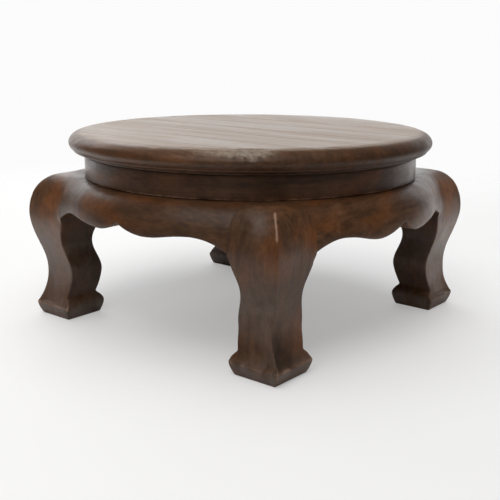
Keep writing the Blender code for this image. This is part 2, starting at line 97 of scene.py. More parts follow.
# Details of a leg's shape
FLARE_POWER = 2.2
NOTCH_POWER = 1.5
TOE_POWER = 1.5
WEB_LIP = 0.0002
WEB_BELOW = 0.014
WEB_ABOVE = 0.006
CROWN_START = 0.024
HOLLOW_LIP = 0.09
HOLLOW_POWER = 1.6
HOLLOW_EDGE = 0.75
DEEP_LIP = 0.07
DEEP_REACH = 0.009

# Worn, straying and greyed places of a leg, the grey being scuffing with painted sheen: middle and half
# width, from the line that each is told from
ANKLE_STRAY = (-0.006, 0.018)
FOOT_STRAY = (0.003, 0.008)
ANKLE_RUB = (0.012, 0.018)
EDGE_RUB = (0.0, 0.006)
CROWN_RUB = (0.0, 0.0007)
CROWN_RIDGE_RUB = (0.0, 0.022)
SHIN_SCUFF_AND_SHEEN = (0.022, 0.034)
FOOT_SCUFF_AND_SHEEN = (0.012, 0.014)
KNEE_SCUFF_AND_SHEEN_ACROSS = (0.020, 0.013)
KNEE_SCUFF_AND_SHEEN_DOWN = (0.017, 0.012)

# Rubbed line on a knee: where it starts, over which height it grows, and what stays clear above it
KNEE_RUB_START = 0.012
KNEE_RUB_GROWTH = 0.014
KNEE_RUB_CLEAR = 0.002

# Rubbed place on the shoulder: middle and half width of its parts, as turns
RUB_FRONT = (-0.01, 0.115)
RUB_TAIL = (-0.16, 0.10)
RUB_DEEPEST = (-0.02, 0.12)

# Rubbed place on the shoulder: how far down it reaches, where it sets in, and which way the wood went
RUB_REACH = 0.0055
RUB_ONSET = 0.0016
RUB_OUTWARD = 0.6
RUB_DOWNWARD = 0.8

# Pale upper face, the stain worn pale together with painted sheen: depth to which it reaches, and how
# gradually it ends
PALE_FACE_DEPTH = 0.0011
PALE_FACE_WIDTH = 0.0005

# Knocks in the rim: turn from the rubbed place, depth below the upper face, size and strength
KNOCKS = (
    (-0.026, 0.0072, 0.0034, 1.0),
    (0.034, 0.006, 0.0040, 0.2),
    (-0.070, 0.008, 0.0045, 0.25),
    (-0.29, 0.020, 0.0050, 0.4),
    (0.47, 0.014, 0.0050, 0.5),
    (2.4, 0.010, 0.0060, 0.8),
    (-1.9, 0.016, 0.0060, 0.6),
)

# Slots in the screw heads
DOWN = (0.0, 0.0, -1.0)
SLOT_WIDTH = 0.0012
SLOT_LENGTH = 0.012
SLOT_DEPTH = 0.0014
SLOT_TURN = 2.4

# Patterns in the wood and on the steel: fineness along, across and through, detail and distortion
FIGURE = ((7.0, 170.0, 170.0), 4.0, 0.6)
BANDS = ((3.0, 42.0, 42.0), 3.0, 1.2)
MOTTLE = ((95.0, 230.0, 230.0), 3.0, 0.4)
PORES = ((60.0, 1500.0, 1500.0), 2.0, 0.0)
PATCHES = ((12.0, 26.0, 26.0), 1.5, 0.3)
CLOUD = ((34.0, 34.0, 34.0), 4.0, 0.3)
SPECKLE = ((420.0, 420.0, 420.0), 3.0, 0.0)
SAWN_FIGURE = ((10.0, 170.0, 170.0), 5.0, 0.8)
SAWN_PORES = ((70.0, 1500.0, 1500.0), 2.0, 0.0)
STEEL_FILM = ((420.0, 420.0, 420.0), 4.0, 0.0)
NEXT_PIECE = (0.61, 0.37, 0.83)
GRAIN_RELIEF = 0.0005
RUST = (0.10, 0.055, 0.03)

# Floor, and lights with their place ahead, to the right and up, their size and their colour
FLOOR_STEPS = 96
FLOOR_RADIUS = 3.0
AIM_HEIGHT = 0.12
SENSOR_WIDTH = 36.0
BLACK = (0.0, 0.0, 0.0)
WHITE = (1.0, 1.0, 1.0)
WARM_WHITE = (1.0, 0.97, 0.93)
LIGHTS = {
    "back": ((2.2, 0.0, 0.70), (5.4, 1.35), WHITE),
    "corner": ((2.1, -1.5, 1.75), (2.4, 0.8), WHITE),
    "top": ((-0.2, -0.2, 2.2), (2.8, 2.8), WHITE),
    "front": ((-1.7, -0.55, 1.9), (1.8, 1.8), WARM_WHITE),
}

# Fineness of the meshes
ROUND_STEPS = 720
SHOULDER_STEPS = 20
BELLY_STEPS = 16
BEAD_STEPS = 8
COVE_STEPS = 14
ARC_STEPS = 90
CORNER_STEPS = 8
SIDE_STEPS = 14
STATION_LENGTH = 0.002
SLICE_LENGTH = 0.0012
CROWN_SLICES = 26
EDGE_STEPS = 4
INNER_STEPS = 8
FACE_STEPS = 24
SOLE_STEPS = 4
WAIST_CUTS = 8
WAIST_EDGE_STEPS = 4
SOFT_EDGE_STEPS = 2
SMOOTH_ANGLE = math.radians(38)
SHARP_ANGLE = math.radians(40)
FLAT_ANGLE = math.radians(1)
MERGE_DISTANCE = 1e-6
RIM_WORK_SIZE = 0.035
FRAME_WORK_SIZE = 0.03


def length(label, default, words):
    """Size in metres."""
    return FloatProperty(name=label, description=words, default=default, unit="LENGTH", precision=4)


def amount(label, default, words):
    """Share from 0 to 1."""
    return FloatProperty(name=label, description=words, default=default, subtype="FACTOR", min=0.0, max=1.0)


def number(label, default, words):
    """Plain number."""
    return FloatProperty(name=label, description=words, default=default)


def angle(label, degrees, words):
    """Angle, given in degrees."""
    return FloatProperty(name=label, description=words, default=math.radians(degrees), subtype="ANGLE")


def colour(label, default, words):
    """Colour in linear light."""
    return FloatVectorProperty(
        name=label, description=words, default=default, subtype="COLOR", min=0.0, max=1.0
    )


class OpiumTableTop(bpy.types.PropertyGroup):
    """Sizes of the boarded top."""

    board_count: IntProperty(name="Boards", description="Boards side by side in the top", default=8)
    seam_gap: length("Seam gap", 0.0003, "Open line between two boards")
    seam_softness: length("Seam softness", 0.0004, "Rounding of the boards' edges at a seam")
    shoulder_width: length("Shoulder width", 0.020, "Rounded upper part of the rim, inward")
    shoulder_depth: length("Shoulder depth", 0.014, "Rounded upper part of the rim, downward")
    arris_depth: length("Arris depth", 0.0255, "Underside of the rim's lower bead below the upper face")
    arris_inset: length("Arris inset", 0.006, "Lower bead of the rim inside the widest line")
    bead_radius: length("Bead radius", 0.0022, "Roundness of the rim's lower bead")
    foot_step: length("Foot step", 0.001, "Underside of the rim outside the waist")
    unevenness: length("Unevenness", 0.0007, "Depth of the hand-worked unevenness of the rim")
    dent_depth: length("Dent depth", 0.0016, "Deepest knock in the rim")
    rub_depth: length("Rub depth", 0.0024, "Wood rubbed off the shoulder in front")
    rub_turn: angle("Rub turn", -50.53, "Direction of the rubbed place from the table's middle")


class OpiumTableApron(bpy.types.PropertyGroup):
    """Sizes of the waist and of the aprons under it."""

    waist_thickness: length("Waist thickness", 0.024, "Thickness of the waist ring")
    waist_softness: length("Waist softness", 0.0006, "Rounding of the waist's edges")
    joint_gap: length("Joint gap", 0.0003, "Open line at a joint")
    shelf: length("Shelf", 0.002, "Level step of the apron outside the waist")
    bulge: length("Bulge", 0.030, "How far the apron swells outside the waist")
    bulge_depth: length("Bulge depth", 0.040, "Fullest line of the apron below its top")
    inner_radius: length("Inner radius", 0.211, "Radius of the apron's inner face at its top")
    inner_lean: length("Inner lean", 0.018, "Outward lean of the inner face over the lobe's depth")
    lobe_depth: length("Lobe depth", 0.0442, "Lobes of the lower edge below the apron's top")
    lobe_offset: length("Lobe offset", 0.040, "Lobes left and right of the middle cusp")
    cusp_rise: length("Cusp rise", 0.012, "Cusp in the middle above the lobes")
    arch_rise: length("Arch rise", 0.005, "Low arch beside the lobes")
    spandrel_length: length("Spandrel length", 0.048, "Length of the fall towards a leg")
    spandrel_drop: length("Spandrel drop", 0.0155, "Depth of the fall towards a leg")
    edge_softness: length("Edge softness", 0.0026, "Rounding of the lower outer edge")
    back_softness: length("Back softness", 0.0012, "Rounding of the lower inner edge")
    valley_width: length("Valley width", 0.042, "Length over which the apron sweeps up to a leg")
    unevenness: length("Unevenness", 0.0009, "Depth of the hand-worked unevenness")


class OpiumTableLeg(bpy.types.PropertyGroup):
    """Sizes of the cabriole legs, in heights above the floor and reaches from the inner face."""

    crown_reach: length("Crown reach", 0.040, "Reach of the leg's flat top")
    ankle_reach: length("Ankle reach", 0.055, "Reach at the ankle")
    foot_reach: length("Foot reach", 0.0665, "Reach at the edge of the foot")
    sole_reach: length("Sole reach", 0.061, "Reach at the floor")
    knee_drop: length("Knee drop", 0.0535, "Fullest line of the knee below the leg's top")
    ankle_height: length("Ankle height", 0.064, "Height of the ankle")
    foot_height: length("Foot height", 0.017, "Height of the foot's edge")
    notch_height: length("Notch height", 0.030, "Height of the notch behind the foot")
    thigh_inset: length("Thigh inset", 0.0095, "Hollow of the inner face below the apron")
    calf_inset: length("Calf inset", 0.001, "Inner face at the ankle")
    notch_inset: length("Notch inset", 0.0085, "Depth of the notch behind the foot")
    toe_inset: length("Toe inset", 0.0005, "Inner side of the foot at its edge")
    sole_inset: length("Sole inset", 0.005, "Inner side of the foot at the floor")
    ridge_softness: length("Ridge softness", 0.0016, "Rounding of the outer ridge")
    crown_softness: length("Crown softness", 0.005, "Rounding of the outer ridge at the very top")
    side_softness: length("Side softness", 0.0018, "Rounding of the side edges below the apron")
    web_rise: length("Web rise", 0.0022, "Rise of the leg's faces where they meet the aprons")
    web_width: length("Web width", 0.018, "Width over which the leg's faces rise to the aprons")
    rub_width: length("Rub width", 0.0025, "Half the width of the rubbed line on the ridge")
    hollow_depth: length("Hollow depth", 0.0045, "Scoop beside the ridge above the foot")
    hollow_height: length("Hollow height", 0.056, "Height of the scoop above the foot's edge")
    hollow_place: amount("Hollow place", 0.34, "Deepest line of the scoop, from the ridge to the side edge")
    deepening: length("Deepening", 0.006, "Extra depth of the scoop in the right-hand face of the front leg")
    deep_width: length("Deep width", 0.013, "Deepest line of that extra scoop from the ridge")
    stray: length("Stray", 0.0032, "How far the ridge of the front leg strays sideways at the ankle")
    stray_width: length("Stray width", 0.022, "Width of the part that strays with the ridge")
    stout_height: length("Stout height", 0.034, "Height up to which a foot is stouter or slimmer")
    stout_fade: length("Stout fade", 0.026, "Height over which that fades out")
    profile_softness: length("Profile softness", 0.0014, "Rounding of the profile's corners below the knee")
    sole_softness: length("Sole softness", 0.0012, "Rounding at the floor")
    unevenness: length("Unevenness", 0.0009, "Depth of the hand-worked unevenness")


class OpiumTableUnderside(bpy.types.PropertyGroup):
    """Sizes of the pieces under the top."""

    softness: length("Softness", 0.0008, "Rounding of the edges of battens and braces")


class OpiumTableFinish(bpy.types.PropertyGroup):
    """Colours and gloss of the wood and the screws."""

    dark_stain: colour("Dark stain", (0.050, 0.0220, 0.0098), "Darkest brown of the stain")
    brown_stain: colour("Brown stain", (0.096, 0.0430, 0.0180), "Usual brown of the stain")
    red_patch: colour("Red patch", (0.155, 0.0520, 0.0140), "Reddish places where the stain is thin")
    # Grey of the shins and a knee: scuffing together with painted sheen
    scuffed_and_sheen_grey: colour("Scuffed wood", (0.150, 0.118, 0.100), "Greyed wood on the shins")
    worn_wood: colour("Worn wood", (0.34, 0.205, 0.135), "Pale wood at rubbed edges")
    # Pale colour where the rim is rubbed through: bare wood together with a painted highlight
    bared_and_highlight_pale: colour("Bared wood", (0.270, 0.222, 0.178), "Pale wood where the rim is rubbed through")
    # Pale brown of the upper face: the stain worn pale together with painted sheen
    top_brown: colour("Top brown", (0.180, 0.112, 0.060), "Faded brown of the upper face")
    bare_wood: colour("Bare wood", (0.188, 0.091, 0.045), "Unpolished wood of the hidden pieces")
    steel: colour("Steel", (0.35, 0.34, 0.33), "Screws")
    roughness: amount("Roughness", 0.38, "Roughness of the waxed wood")
    wear: amount("Wear", 0.75, "How far the edges are rubbed")


class OpiumTableStudio(bpy.types.PropertyGroup):
    """Camera, floor and lights."""

    azimuth: angle("Azimuth", 39.47, "Camera direction round the table")
    elevation: angle("Elevation", 11.90, "Camera direction above the horizon")
    roll: angle("Roll", 0.26, "Turn of the camera about its own axis")
    distance: length("Distance", 1.218, "From the camera to its target")
    target_height: length("Target height", 0.13, "Height of the camera's target")
    lens: number("Lens", 61.4, "Focal length in millimetres on a 36 mm sensor")
    shift: number("Shift", -0.061, "Upward shift of the picture, as a share of its width")
    floor: colour("Floor", (0.62, 0.62, 0.62), "Floor as the camera sees it")
    thrown: colour("Thrown light", (0.76, 0.76, 0.76), "Floor as the table sees it")
    lift: number("Lift", 0.30, "Brightness that the floor shows even in shadow")
    backdrop: colour("Backdrop", (0.97, 0.97, 0.97), "Pale surroundings behind the floor")
    sky_strength: number("Sky strength", 0.10, "Even light from all round")
    back_power: number("Back light", 40.0, "Soft light behind the table, in watts")
    top_power: number("Top light", 42.0, "Soft light above the table, in watts")
    front_power: number("Front light", 20.0, "Soft light high behind the camera, in watts")
    corner_power: number("Corner light", 13.0, "Soft light above the back light at the left, in watts")
    glow: number("Glow", 0.9, "Light that the floor round the table gives")


def ease(share):
    """Smooth climb from 0 to 1 that starts and ends level."""
    return (1 - math.cos(math.pi * share)) / 2


def blend(low, high, share):
    """Value between two others."""
    return low + (high - low) * share


def ramp(value, low, high):
    """Smooth climb from 0 at low to 1 at high."""
    return ease(min(max((value - low) / (high - low), 0.0), 1.0))


def bell(values, middle, width, power=2):
    """1 where a value is at the middle, and less away from it."""
    return np.exp(-(((values - middle) / width) ** power))


def along(places, turn):
    """How far each point lies in the direction of a turn round the table."""
    return places[:, 0] * math.cos(turn) + places[:, 1] * math.sin(turn)


def deselect():
    """Leave nothing selected, so that an operator acts on the new piece alone."""
    bpy.ops.object.select_all(action="DESELECT")


def pick(piece):
    """Select one piece and make it active."""
    deselect()
    piece.select_set(True)
    bpy.context.view_layer.objects.active = piece


def loft(name, outlines):
    """Solid through a row of matching outlines: a filled circle pushed into shape, then extruded."""
    deselect()
    bpy.ops.mesh.primitive_circle_add(vertices=len(outlines[0]), fill_type="NGON", enter_editmode=True)
    piece = bpy.context.object
    piece.name = name
    for index, outline in enumerate(outlines):
        if index:
            bpy.ops.mesh.extrude_region_move()
        shape = bmesh.from_edit_mesh(piece.data)
        cap = next(face for face in shape.faces if face.select)
        for loop, point in zip(cap.loops, outline):
            loop.vert.co = point
        bmesh.update_edit_mesh(piece.data)
    close_shape()
    return piece


def close_shape():
    """Turn all faces outward and leave edit mode."""
    bpy.ops.mesh.select_all(action="SELECT")
    bpy.ops.mesh.normals_make_consistent(inside=False)
    bpy.ops.object.mode_set(mode="OBJECT")
    bpy.ops.object.shade_smooth_by_angle(angle=SMOOTH_ANGLE)


def points_of(mesh):
    """Places and normals of a mesh's points, as arrays."""
    places = np.empty(len(mesh.vertices) * 3)
    normals = np.empty(len(mesh.vertices) * 3)
    mesh.vertices.foreach_get("co", places)
    mesh.vertex_normals.foreach_get("vector", normals)
    return places.reshape(-1, 3), normals.reshape(-1, 3)


def move_points(piece, places):
    """Put a piece's points at new places."""
    piece.data.vertices.foreach_set("co", places.ravel())
    piece.data.update()


def keep_values(mesh, name, values):
    """Store one number on each point of a mesh."""
    kept = mesh.attributes.get(name) or mesh.attributes.new(name, "FLOAT", "POINT")
    kept.data.foreach_set("value", np.asarray(values, dtype=np.float32))


def keep_grain(mesh, places):
    """Store on each point where it lies along, across and through the grain."""
    kept = mesh.attributes.get("grain") or mesh.attributes.new("grain", "FLOAT_VECTOR", "POINT")
    kept.data.foreach_set("vector", np.asarray(places, dtype=np.float32).ravel())


def keep_wear(mesh, exposure=1.0, extra=0.0, sharp_radius=0.002, spread=2):
    """Store how rubbed each point is: more where the surface turns outward on a small radius."""
    places, normals = points_of(mesh)
    pairs = np.empty(len(mesh.edges) * 2, dtype=np.int64)
    mesh.edges.foreach_get("vertices", pairs)
    near, far = pairs.reshape(-1, 2).T
    step = places[near] - places[far]
    span = np.maximum((step**2).sum(1), 1e-10)
    count = np.maximum(np.bincount(pairs, minlength=len(places)), 1)
    bend = np.zeros(len(places))
    np.add.at(bend, near, (normals[near] * step).sum(1) / span)
    np.add.at(bend, far, -(normals[far] * step).sum(1) / span)
    wear = np.clip(bend / count * 4 * sharp_radius, 0, 1)
    for _ in range(spread):
        around = np.zeros(len(places))
        np.add.at(around, near, wear[far])
        np.add.at(around, far, wear[near])
        wear = (wear + around / count) / 2
    keep_values(mesh, "wear", np.clip(wear * exposure + extra, 0, 1))


def work_by_hand(piece, depth, size, group=None):
    """Take a little wood off unevenly, as scraping and long use do."""
    pick(piece)
    pattern = bpy.data.textures.new("hand work", "CLOUDS")
    pattern.noise_scale = size
    pattern.noise_depth = 2
    bpy.ops.object.modifier_add(type="DISPLACE")
    modifier = piece.modifiers[-1]
    modifier.texture = pattern
    modifier.texture_coords = "LOCAL"
    modifier.strength = depth
    modifier.mid_level = 1.0
    if group:
        modifier.vertex_group = group
    bpy.ops.object.modifier_apply(modifier=modifier.name)


def weigh(piece, name, weights):
    """Vertex group with one weight for each point."""
    group = piece.vertex_groups.new(name=name)
    for index, weight in enumerate(weights):
        group.add([index], weight, "REPLACE")


def turned_copies(piece, names):
    """The piece and three more round the table, each with its own mesh and its place in that mesh."""
    pieces = []
    for index, name in enumerate(names):
        pick(piece)
        bpy.ops.object.duplicate()
        copy = bpy.context.object
        copy.name = f"finished_{name}"
        copy.rotation_euler.z = index * QUARTER_TURN
        bpy.ops.object.transform_apply(location=False, rotation=True, scale=False)
        shift_grain(copy.data, index)
        pieces.append(copy)
    bpy.data.objects.remove(piece, do_unlink=True)
    return pieces


def shift_grain(mesh, index):
    """Give each of several like pieces its own part of the wood's pattern."""
    places = np.empty(len(mesh.vertices) * 3, dtype=np.float32)
    mesh.attributes["grain"].data.foreach_get("vector", places)
    places = places.reshape(-1, 3) + np.array(NEXT_PIECE) * index
    keep_grain(mesh, places)


def settle(piece, node, material):
    """Give a finished piece its wood, and let it stand for a solid of the part."""
    piece.data.materials.clear()
    piece.data.materials.append(material)
    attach(piece, BODY)
    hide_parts(node)


def feed(tree, socket, value):
    """Link an output to a socket, or set a plain value on it."""
    if isinstance(value, bpy.types.NodeSocket):
        tree.links.new(value, socket)
    else:
        socket.default_value = value


def add_node(tree, kind, settings=None, **inputs):
    """New shader node with its settings, and its inputs linked or set."""
    node = tree.nodes.new(kind)
    for name, value in (settings or {}).items():
        setattr(node, name, value)
    for name, value in inputs.items():
        feed(tree, node.inputs[name.replace("_", " ")], value)
    return node


def mix(tree, share, first, second, kind="MIX"):
    """Mixed colour of two colours."""
    node = tree.nodes.new("ShaderNodeMix")
    node.data_type = "RGBA"
    node.blend_type = kind
    for index, value in zip((0, 6, 7), (share, first, second)):
        ready = isinstance(value, (bpy.types.NodeSocket, int, float))
        feed(tree, node.inputs[index], value if ready else (*value, 1.0))
    return node.outputs[2]


def math_node(tree, operation, first, second=0.0, clamp=False):
    """Sum, product or the like of two values."""
    node = tree.nodes.new("ShaderNodeMath")
    node.operation = operation
    node.use_clamp = clamp
    for socket, value in zip(node.inputs, (first, second)):
        feed(tree, socket, value)
    return node.outputs[0]


def times(tree, first, second, clamp=False):
    """Product of two values."""
    return math_node(tree, "MULTIPLY", first, second, clamp)


def plus(tree, first, second):
    """Sum of two values."""
    return math_node(tree, "ADD", first, second)


def shaded(tree, colour_of_wood, share):
    """Colour made darker or paler by a share."""
    return mix(tree, 1.0, colour_of_wood, share, "MULTIPLY")


def stored(tree, name, output="Fac"):
    """Values that are stored on the points of a piece."""
    return add_node(tree, "ShaderNodeAttribute", {"attribute_name": name}).outputs[output]


def object_place(tree):
    """Place in the table's own frame."""
    return add_node(tree, "ShaderNodeTexCoord").outputs["Object"]


def spread_range(tree, value, low, high, start=0.0, end=1.0):
    """Value stretched from one range to another, smooth and clamped."""
    node = add_node(
        tree,
        "ShaderNodeMapRange",
        {"interpolation_type": "SMOOTHSTEP"},
        Value=value,
        From_Min=low,
        From_Max=high,
        To_Min=start,
        To_Max=end,
    )
    return node.outputs[0]


def streaks(tree, grain, scale, detail, distortion):
    """Noise drawn out along the grain; scale is its fineness along, across and through."""
    stretched = add_node(tree, "ShaderNodeVectorMath", {"operation": "MULTIPLY"})
    tree.links.new(grain, stretched.inputs[0])
    stretched.inputs[1].default_value = scale
    noise = add_node(
        tree,
        "ShaderNodeTexNoise",
        Vector=stretched.outputs[0],
        Scale=1.0,
        Detail=detail,
        Roughness=0.6,
        Distortion=distortion,
    )
    return noise.outputs[0]


def new_material(name):
    """Material with its node tree and its one shader."""
    material = bpy.data.materials.new(name)
    material.use_nodes = True
    tree = material.node_tree
    return material, tree, tree.nodes["Principled BSDF"]


def raise_grain(tree, shader, relief, strength):
    """Fine relief of the wood's surface."""
    bump = add_node(tree, "ShaderNodeBump", Strength=strength, Distance=GRAIN_RELIEF, Height=relief)
    tree.links.new(bump.outputs[0], shader.inputs["Normal"])


def stained_wood(name, finish, top=False):
    """Dark stained and waxed wood: drawn-out figure, fine pores, reddish patches and rubbed edges."""
    material, tree, shader = new_material(name)
    grain = stored(tree, "grain", "Vector")
    wear = stored(tree, "wear")
    place = object_place(tree)
    figure = streaks(tree, grain, *FIGURE)
    bands = streaks(tree, grain, *BANDS)
    mottle = streaks(tree, grain, *MOTTLE)
    pores = streaks(tree, grain, *PORES)
    patches = streaks(tree, grain, *PATCHES)
    cloud = streaks(tree, place, *CLOUD)
    speckle = streaks(tree, place, *SPECKLE)

    # Stain, thinner and redder in patches
    brown, dark = finish.brown_stain, finish.dark_stain
    # On the top the upper face is paler: the stain worn pale together with painted sheen
    if top:
        faded = stored(tree, "faded")
        brown = mix(tree, faded, brown, finish.top_brown)
        dark = mix(tree, faded, dark, [0.78 * part for part in finish.top_brown])
    depth = plus(tree, times(tree, figure, 0.6), times(tree, bands, 0.4))
    base = mix(tree, spread_range(tree, depth, 0.30, 0.62), dark, brown)
    red = spread_range(tree, patches, 0.46, 0.74, 0.0, 0.7)
    if top:
        red = times(tree, red, spread_range(tree, faded, 0.0, 1.0, 0.45, 0.2))
    base = mix(tree, red, base, finish.red_patch)

    # Uneven shade, dark pores, and the lightness of each piece, which carries painted light and shade
    shade = spread_range(tree, cloud, 0.30, 0.70, 0.78, 1.14)
    shade = times(tree, shade, spread_range(tree, mottle, 0.30, 0.70, 0.82, 1.16))
    if top:
        # The rim is made paler overall, to balance the painted shade on its sides
        shade = times(tree, shade, 1.12)
        shade = mix(tree, faded, shade, spread_range(tree, bands, 0.30, 0.70, 0.85, 1.13))
    base = shaded(tree, base, shade)
    base = shaded(tree, base, spread_range(tree, pores, 0.28, 0.46, 0.70, 1.0))
    base = shaded(tree, base, plus(tree, stored(tree, "tone"), 1.0))

    # Scuffs with painted grey sheen, painted shade, and edges rubbed through to the pale wood
    # Painted grey sheen together with scuffing, where stored
    scuffed = times(tree, stored(tree, "scuffed"), spread_range(tree, cloud, 0.32, 0.66, 0.05, 0.45))
    base = mix(tree, scuffed, base, finish.scuffed_and_sheen_grey)
    # Painted shade: darker colour where stored, on the rim's sides and in the scooped hollows; it also dulls
    # the gloss
    grime = stored(tree, "grime")
    base = shaded(tree, base, spread_range(tree, grime, 0.0, 1.0, 1.0, 0.45))
    broken = times(tree, wear, spread_range(tree, cloud, 0.36, 0.62, 0.35, 1.3))
    broken = times(tree, broken, spread_range(tree, speckle, 0.32, 0.6, 0.6, 1.1))
    rubbed = spread_range(tree, broken, 0.15, 0.75, 0.0, finish.wear)
    base = mix(tree, rubbed, base, finish.worn_wood)
    if top:
        # Painted highlight together with bare wood, on the rubbed place of the shoulder
        bared = times(tree, stored(tree, "bared"), spread_range(tree, speckle, 0.34, 0.60, 0.75, 1.05))
        bared = times(tree, bared, spread_range(tree, mottle, 0.34, 0.62, 0.45, 1.1), True)
        base = mix(tree, bared, base, finish.bared_and_highlight_pale)
    tree.links.new(base, shader.inputs["Base Color"])

    # Gloss of the wax
    smooth, dull = finish.roughness - 0.05, finish.roughness + 0.08
    rough = spread_range(tree, bands if top else cloud, 0.3, 0.7, smooth, dull)
    rough = plus(tree, rough, spread_range(tree, pores, 0.3, 0.5, 0.08, 0.0))
    rough = plus(tree, rough, times(tree, grime, 0.3))
    rough = math_node(tree, "SUBTRACT", rough, times(tree, rubbed, 0.12), True)
    if top:
        rough = math_node(tree, "SUBTRACT", rough, times(tree, bared, 0.16), True)
    tree.links.new(rough, shader.inputs["Roughness"])
    shader.inputs["Specular IOR Level"].default_value = 0.42

    # Relief of the grain
    relief = plus(tree, times(tree, pores, 0.4), times(tree, figure, 0.7))
    relief = plus(tree, relief, times(tree, mottle, 0.1 if top else 0.7))
    raise_grain(tree, shader, relief, 0.12 if top else 0.3)
    return material


def bare_wood(name, finish, stored_grain):
    """Unpolished wood of the pieces that don't show from outside."""
    material, tree, shader = new_material(name)
    grain = stored(tree, "grain", "Vector") if stored_grain else object_place(tree)
    figure = streaks(tree, grain, *SAWN_FIGURE)
    pores = streaks(tree, grain, *SAWN_PORES)
    dark = [part * 0.55 for part in finish.bare_wood]
    base = mix(tree, spread_range(tree, figure, 0.32, 0.66), dark, finish.bare_wood)
    base = shaded(tree, base, spread_range(tree, pores, 0.3, 0.5, 0.7, 1.0))
    tree.links.new(base, shader.inputs["Base Color"])
    tree.links.new(spread_range(tree, figure, 0.3, 0.7, 0.62, 0.8), shader.inputs["Roughness"])
    raise_grain(tree, shader, figure, 0.4)
    return material


def screw_steel(name, finish):
    """Plain steel with a dull film of age."""
    material, tree, shader = new_material(name)
    film = streaks(tree, object_place(tree), *STEEL_FILM)
    base = mix(tree, spread_range(tree, film, 0.48, 0.72, 0.0, 0.6), finish.steel, RUST)
    tree.links.new(base, shader.inputs["Base Color"])
    tree.links.new(spread_range(tree, film, 0.3, 0.7, 0.32, 0.6), shader.inputs["Roughness"])
    shader.inputs["Metallic"].default_value = 1.0
    return material


def made(make, name, *settings):
    """Material by name, made the first time that it is asked for."""
    return bpy.data.materials.get(name) or make(name, *settings)


def frame_wood(context):
    """Waxed wood of the waist, aprons and legs."""
    return made(stained_wood, "frame_wood_waxed", context.scene.opium_table_finish)


def rim_profile(top):
    """Edge of the top from its underside to its upper face, as (radius, height) points."""
    shoulder = TOP_RADIUS - top.shoulder_width
    widest = TABLE_HEIGHT - top.shoulder_depth
    foot = WAIST_RADIUS + top.foot_step
    bead = top.bead_radius
    middle, level = TOP_RADIUS - top.arris_inset - bead, TABLE_HEIGHT - top.arris_depth + bead
    profile = []
    for step in range(COVE_STEPS):
        turn = QUARTER_TURN * step / COVE_STEPS
        radius = blend(foot, middle, 1 - math.cos(turn))
        profile.append((radius, blend(TOP_UNDERSIDE, level - bead, math.sin(turn))))
    for step in range(BEAD_STEPS):
        turn = QUARTER_TURN * (step / BEAD_STEPS - 1)
        profile.append((middle + bead * math.cos(turn), level + bead * math.sin(turn)))
    for step in range(BELLY_STEPS):
        left = 1 - step / BELLY_STEPS
        profile.append((TOP_RADIUS - top.arris_inset * left**2, blend(widest, level, left)))
    for step in range(SHOULDER_STEPS + 1):
        turn = QUARTER_TURN * step / SHOULDER_STEPS
        radius = shoulder + top.shoulder_width * math.cos(turn)
        profile.append((radius, widest + top.shoulder_depth * math.sin(turn)))
    profile += [(shoulder - top.shoulder_width * step / 2, TABLE_HEIGHT) for step in (1, 2)]
    return profile


def round_top(top):
    """Whole disc of the top with its moulded rim, drawn up ring by ring from a circle."""
    profile = rim_profile(top)
    deselect()
    bpy.ops.mesh.primitive_circle_add(
        vertices=ROUND_STEPS, radius=profile[0][0], fill_type="NGON", enter_editmode=True
    )
    disc = bpy.context.object
    bpy.ops.transform.translate(value=(0, 0, profile[0][1]))
    for (radius, height), (wider, higher) in zip(profile, profile[1:]):
        bpy.ops.mesh.extrude_region_move(TRANSFORM_OT_translate={"value": (0, 0, higher - height)})
        scale = wider / radius
        bpy.ops.transform.resize(value=(scale, scale, 1), center_override=(0, 0, higher))
    close_shape()
    return disc


def rubbed_shoulder(turns, drop):
    """How rubbed the shoulder is: a ragged place in front, with a tail beside it."""
    ragged = 0.5 + 0.24 * np.sin(47 * turns + 1.1) + 0.16 * np.sin(113 * turns)
    ragged = ragged + 0.1 * np.sin(211 * turns + 2)
    front = bell(turns, *RUB_FRONT, power=4) * (0.62 + 0.38 * ragged)
    tail = bell(turns, *RUB_TAIL) * (0.45 + 0.4 * ragged)
    reach = RUB_REACH * (1 + ragged * bell(turns, *RUB_DEEPEST))
    return np.maximum(front, tail) * bell(drop, 0.0, reach, power=4)


def knock_rim(places, normals, top):
    """Sink the knocks into the rim's points, and tell how deep each point lies in one."""
    radii, heights = np.array(rim_profile(top)[COVE_STEPS + BEAD_STEPS :]).T
    knocked = np.zeros(len(places))
    for turn, depth, size, share in KNOCKS:
        heading, level = top.rub_turn + turn, TABLE_HEIGHT - depth
        radius = np.interp(level, heights, radii)
        centre = np.array((radius * math.cos(heading), radius * math.sin(heading), level))
        sunk = share * np.clip(1 - ((places - centre) ** 2).sum(1) / size**2, 0, 1) ** 2
        places -= normals * (top.dent_depth * sunk)[:, None]
        knocked = np.maximum(knocked, sunk)
    return knocked


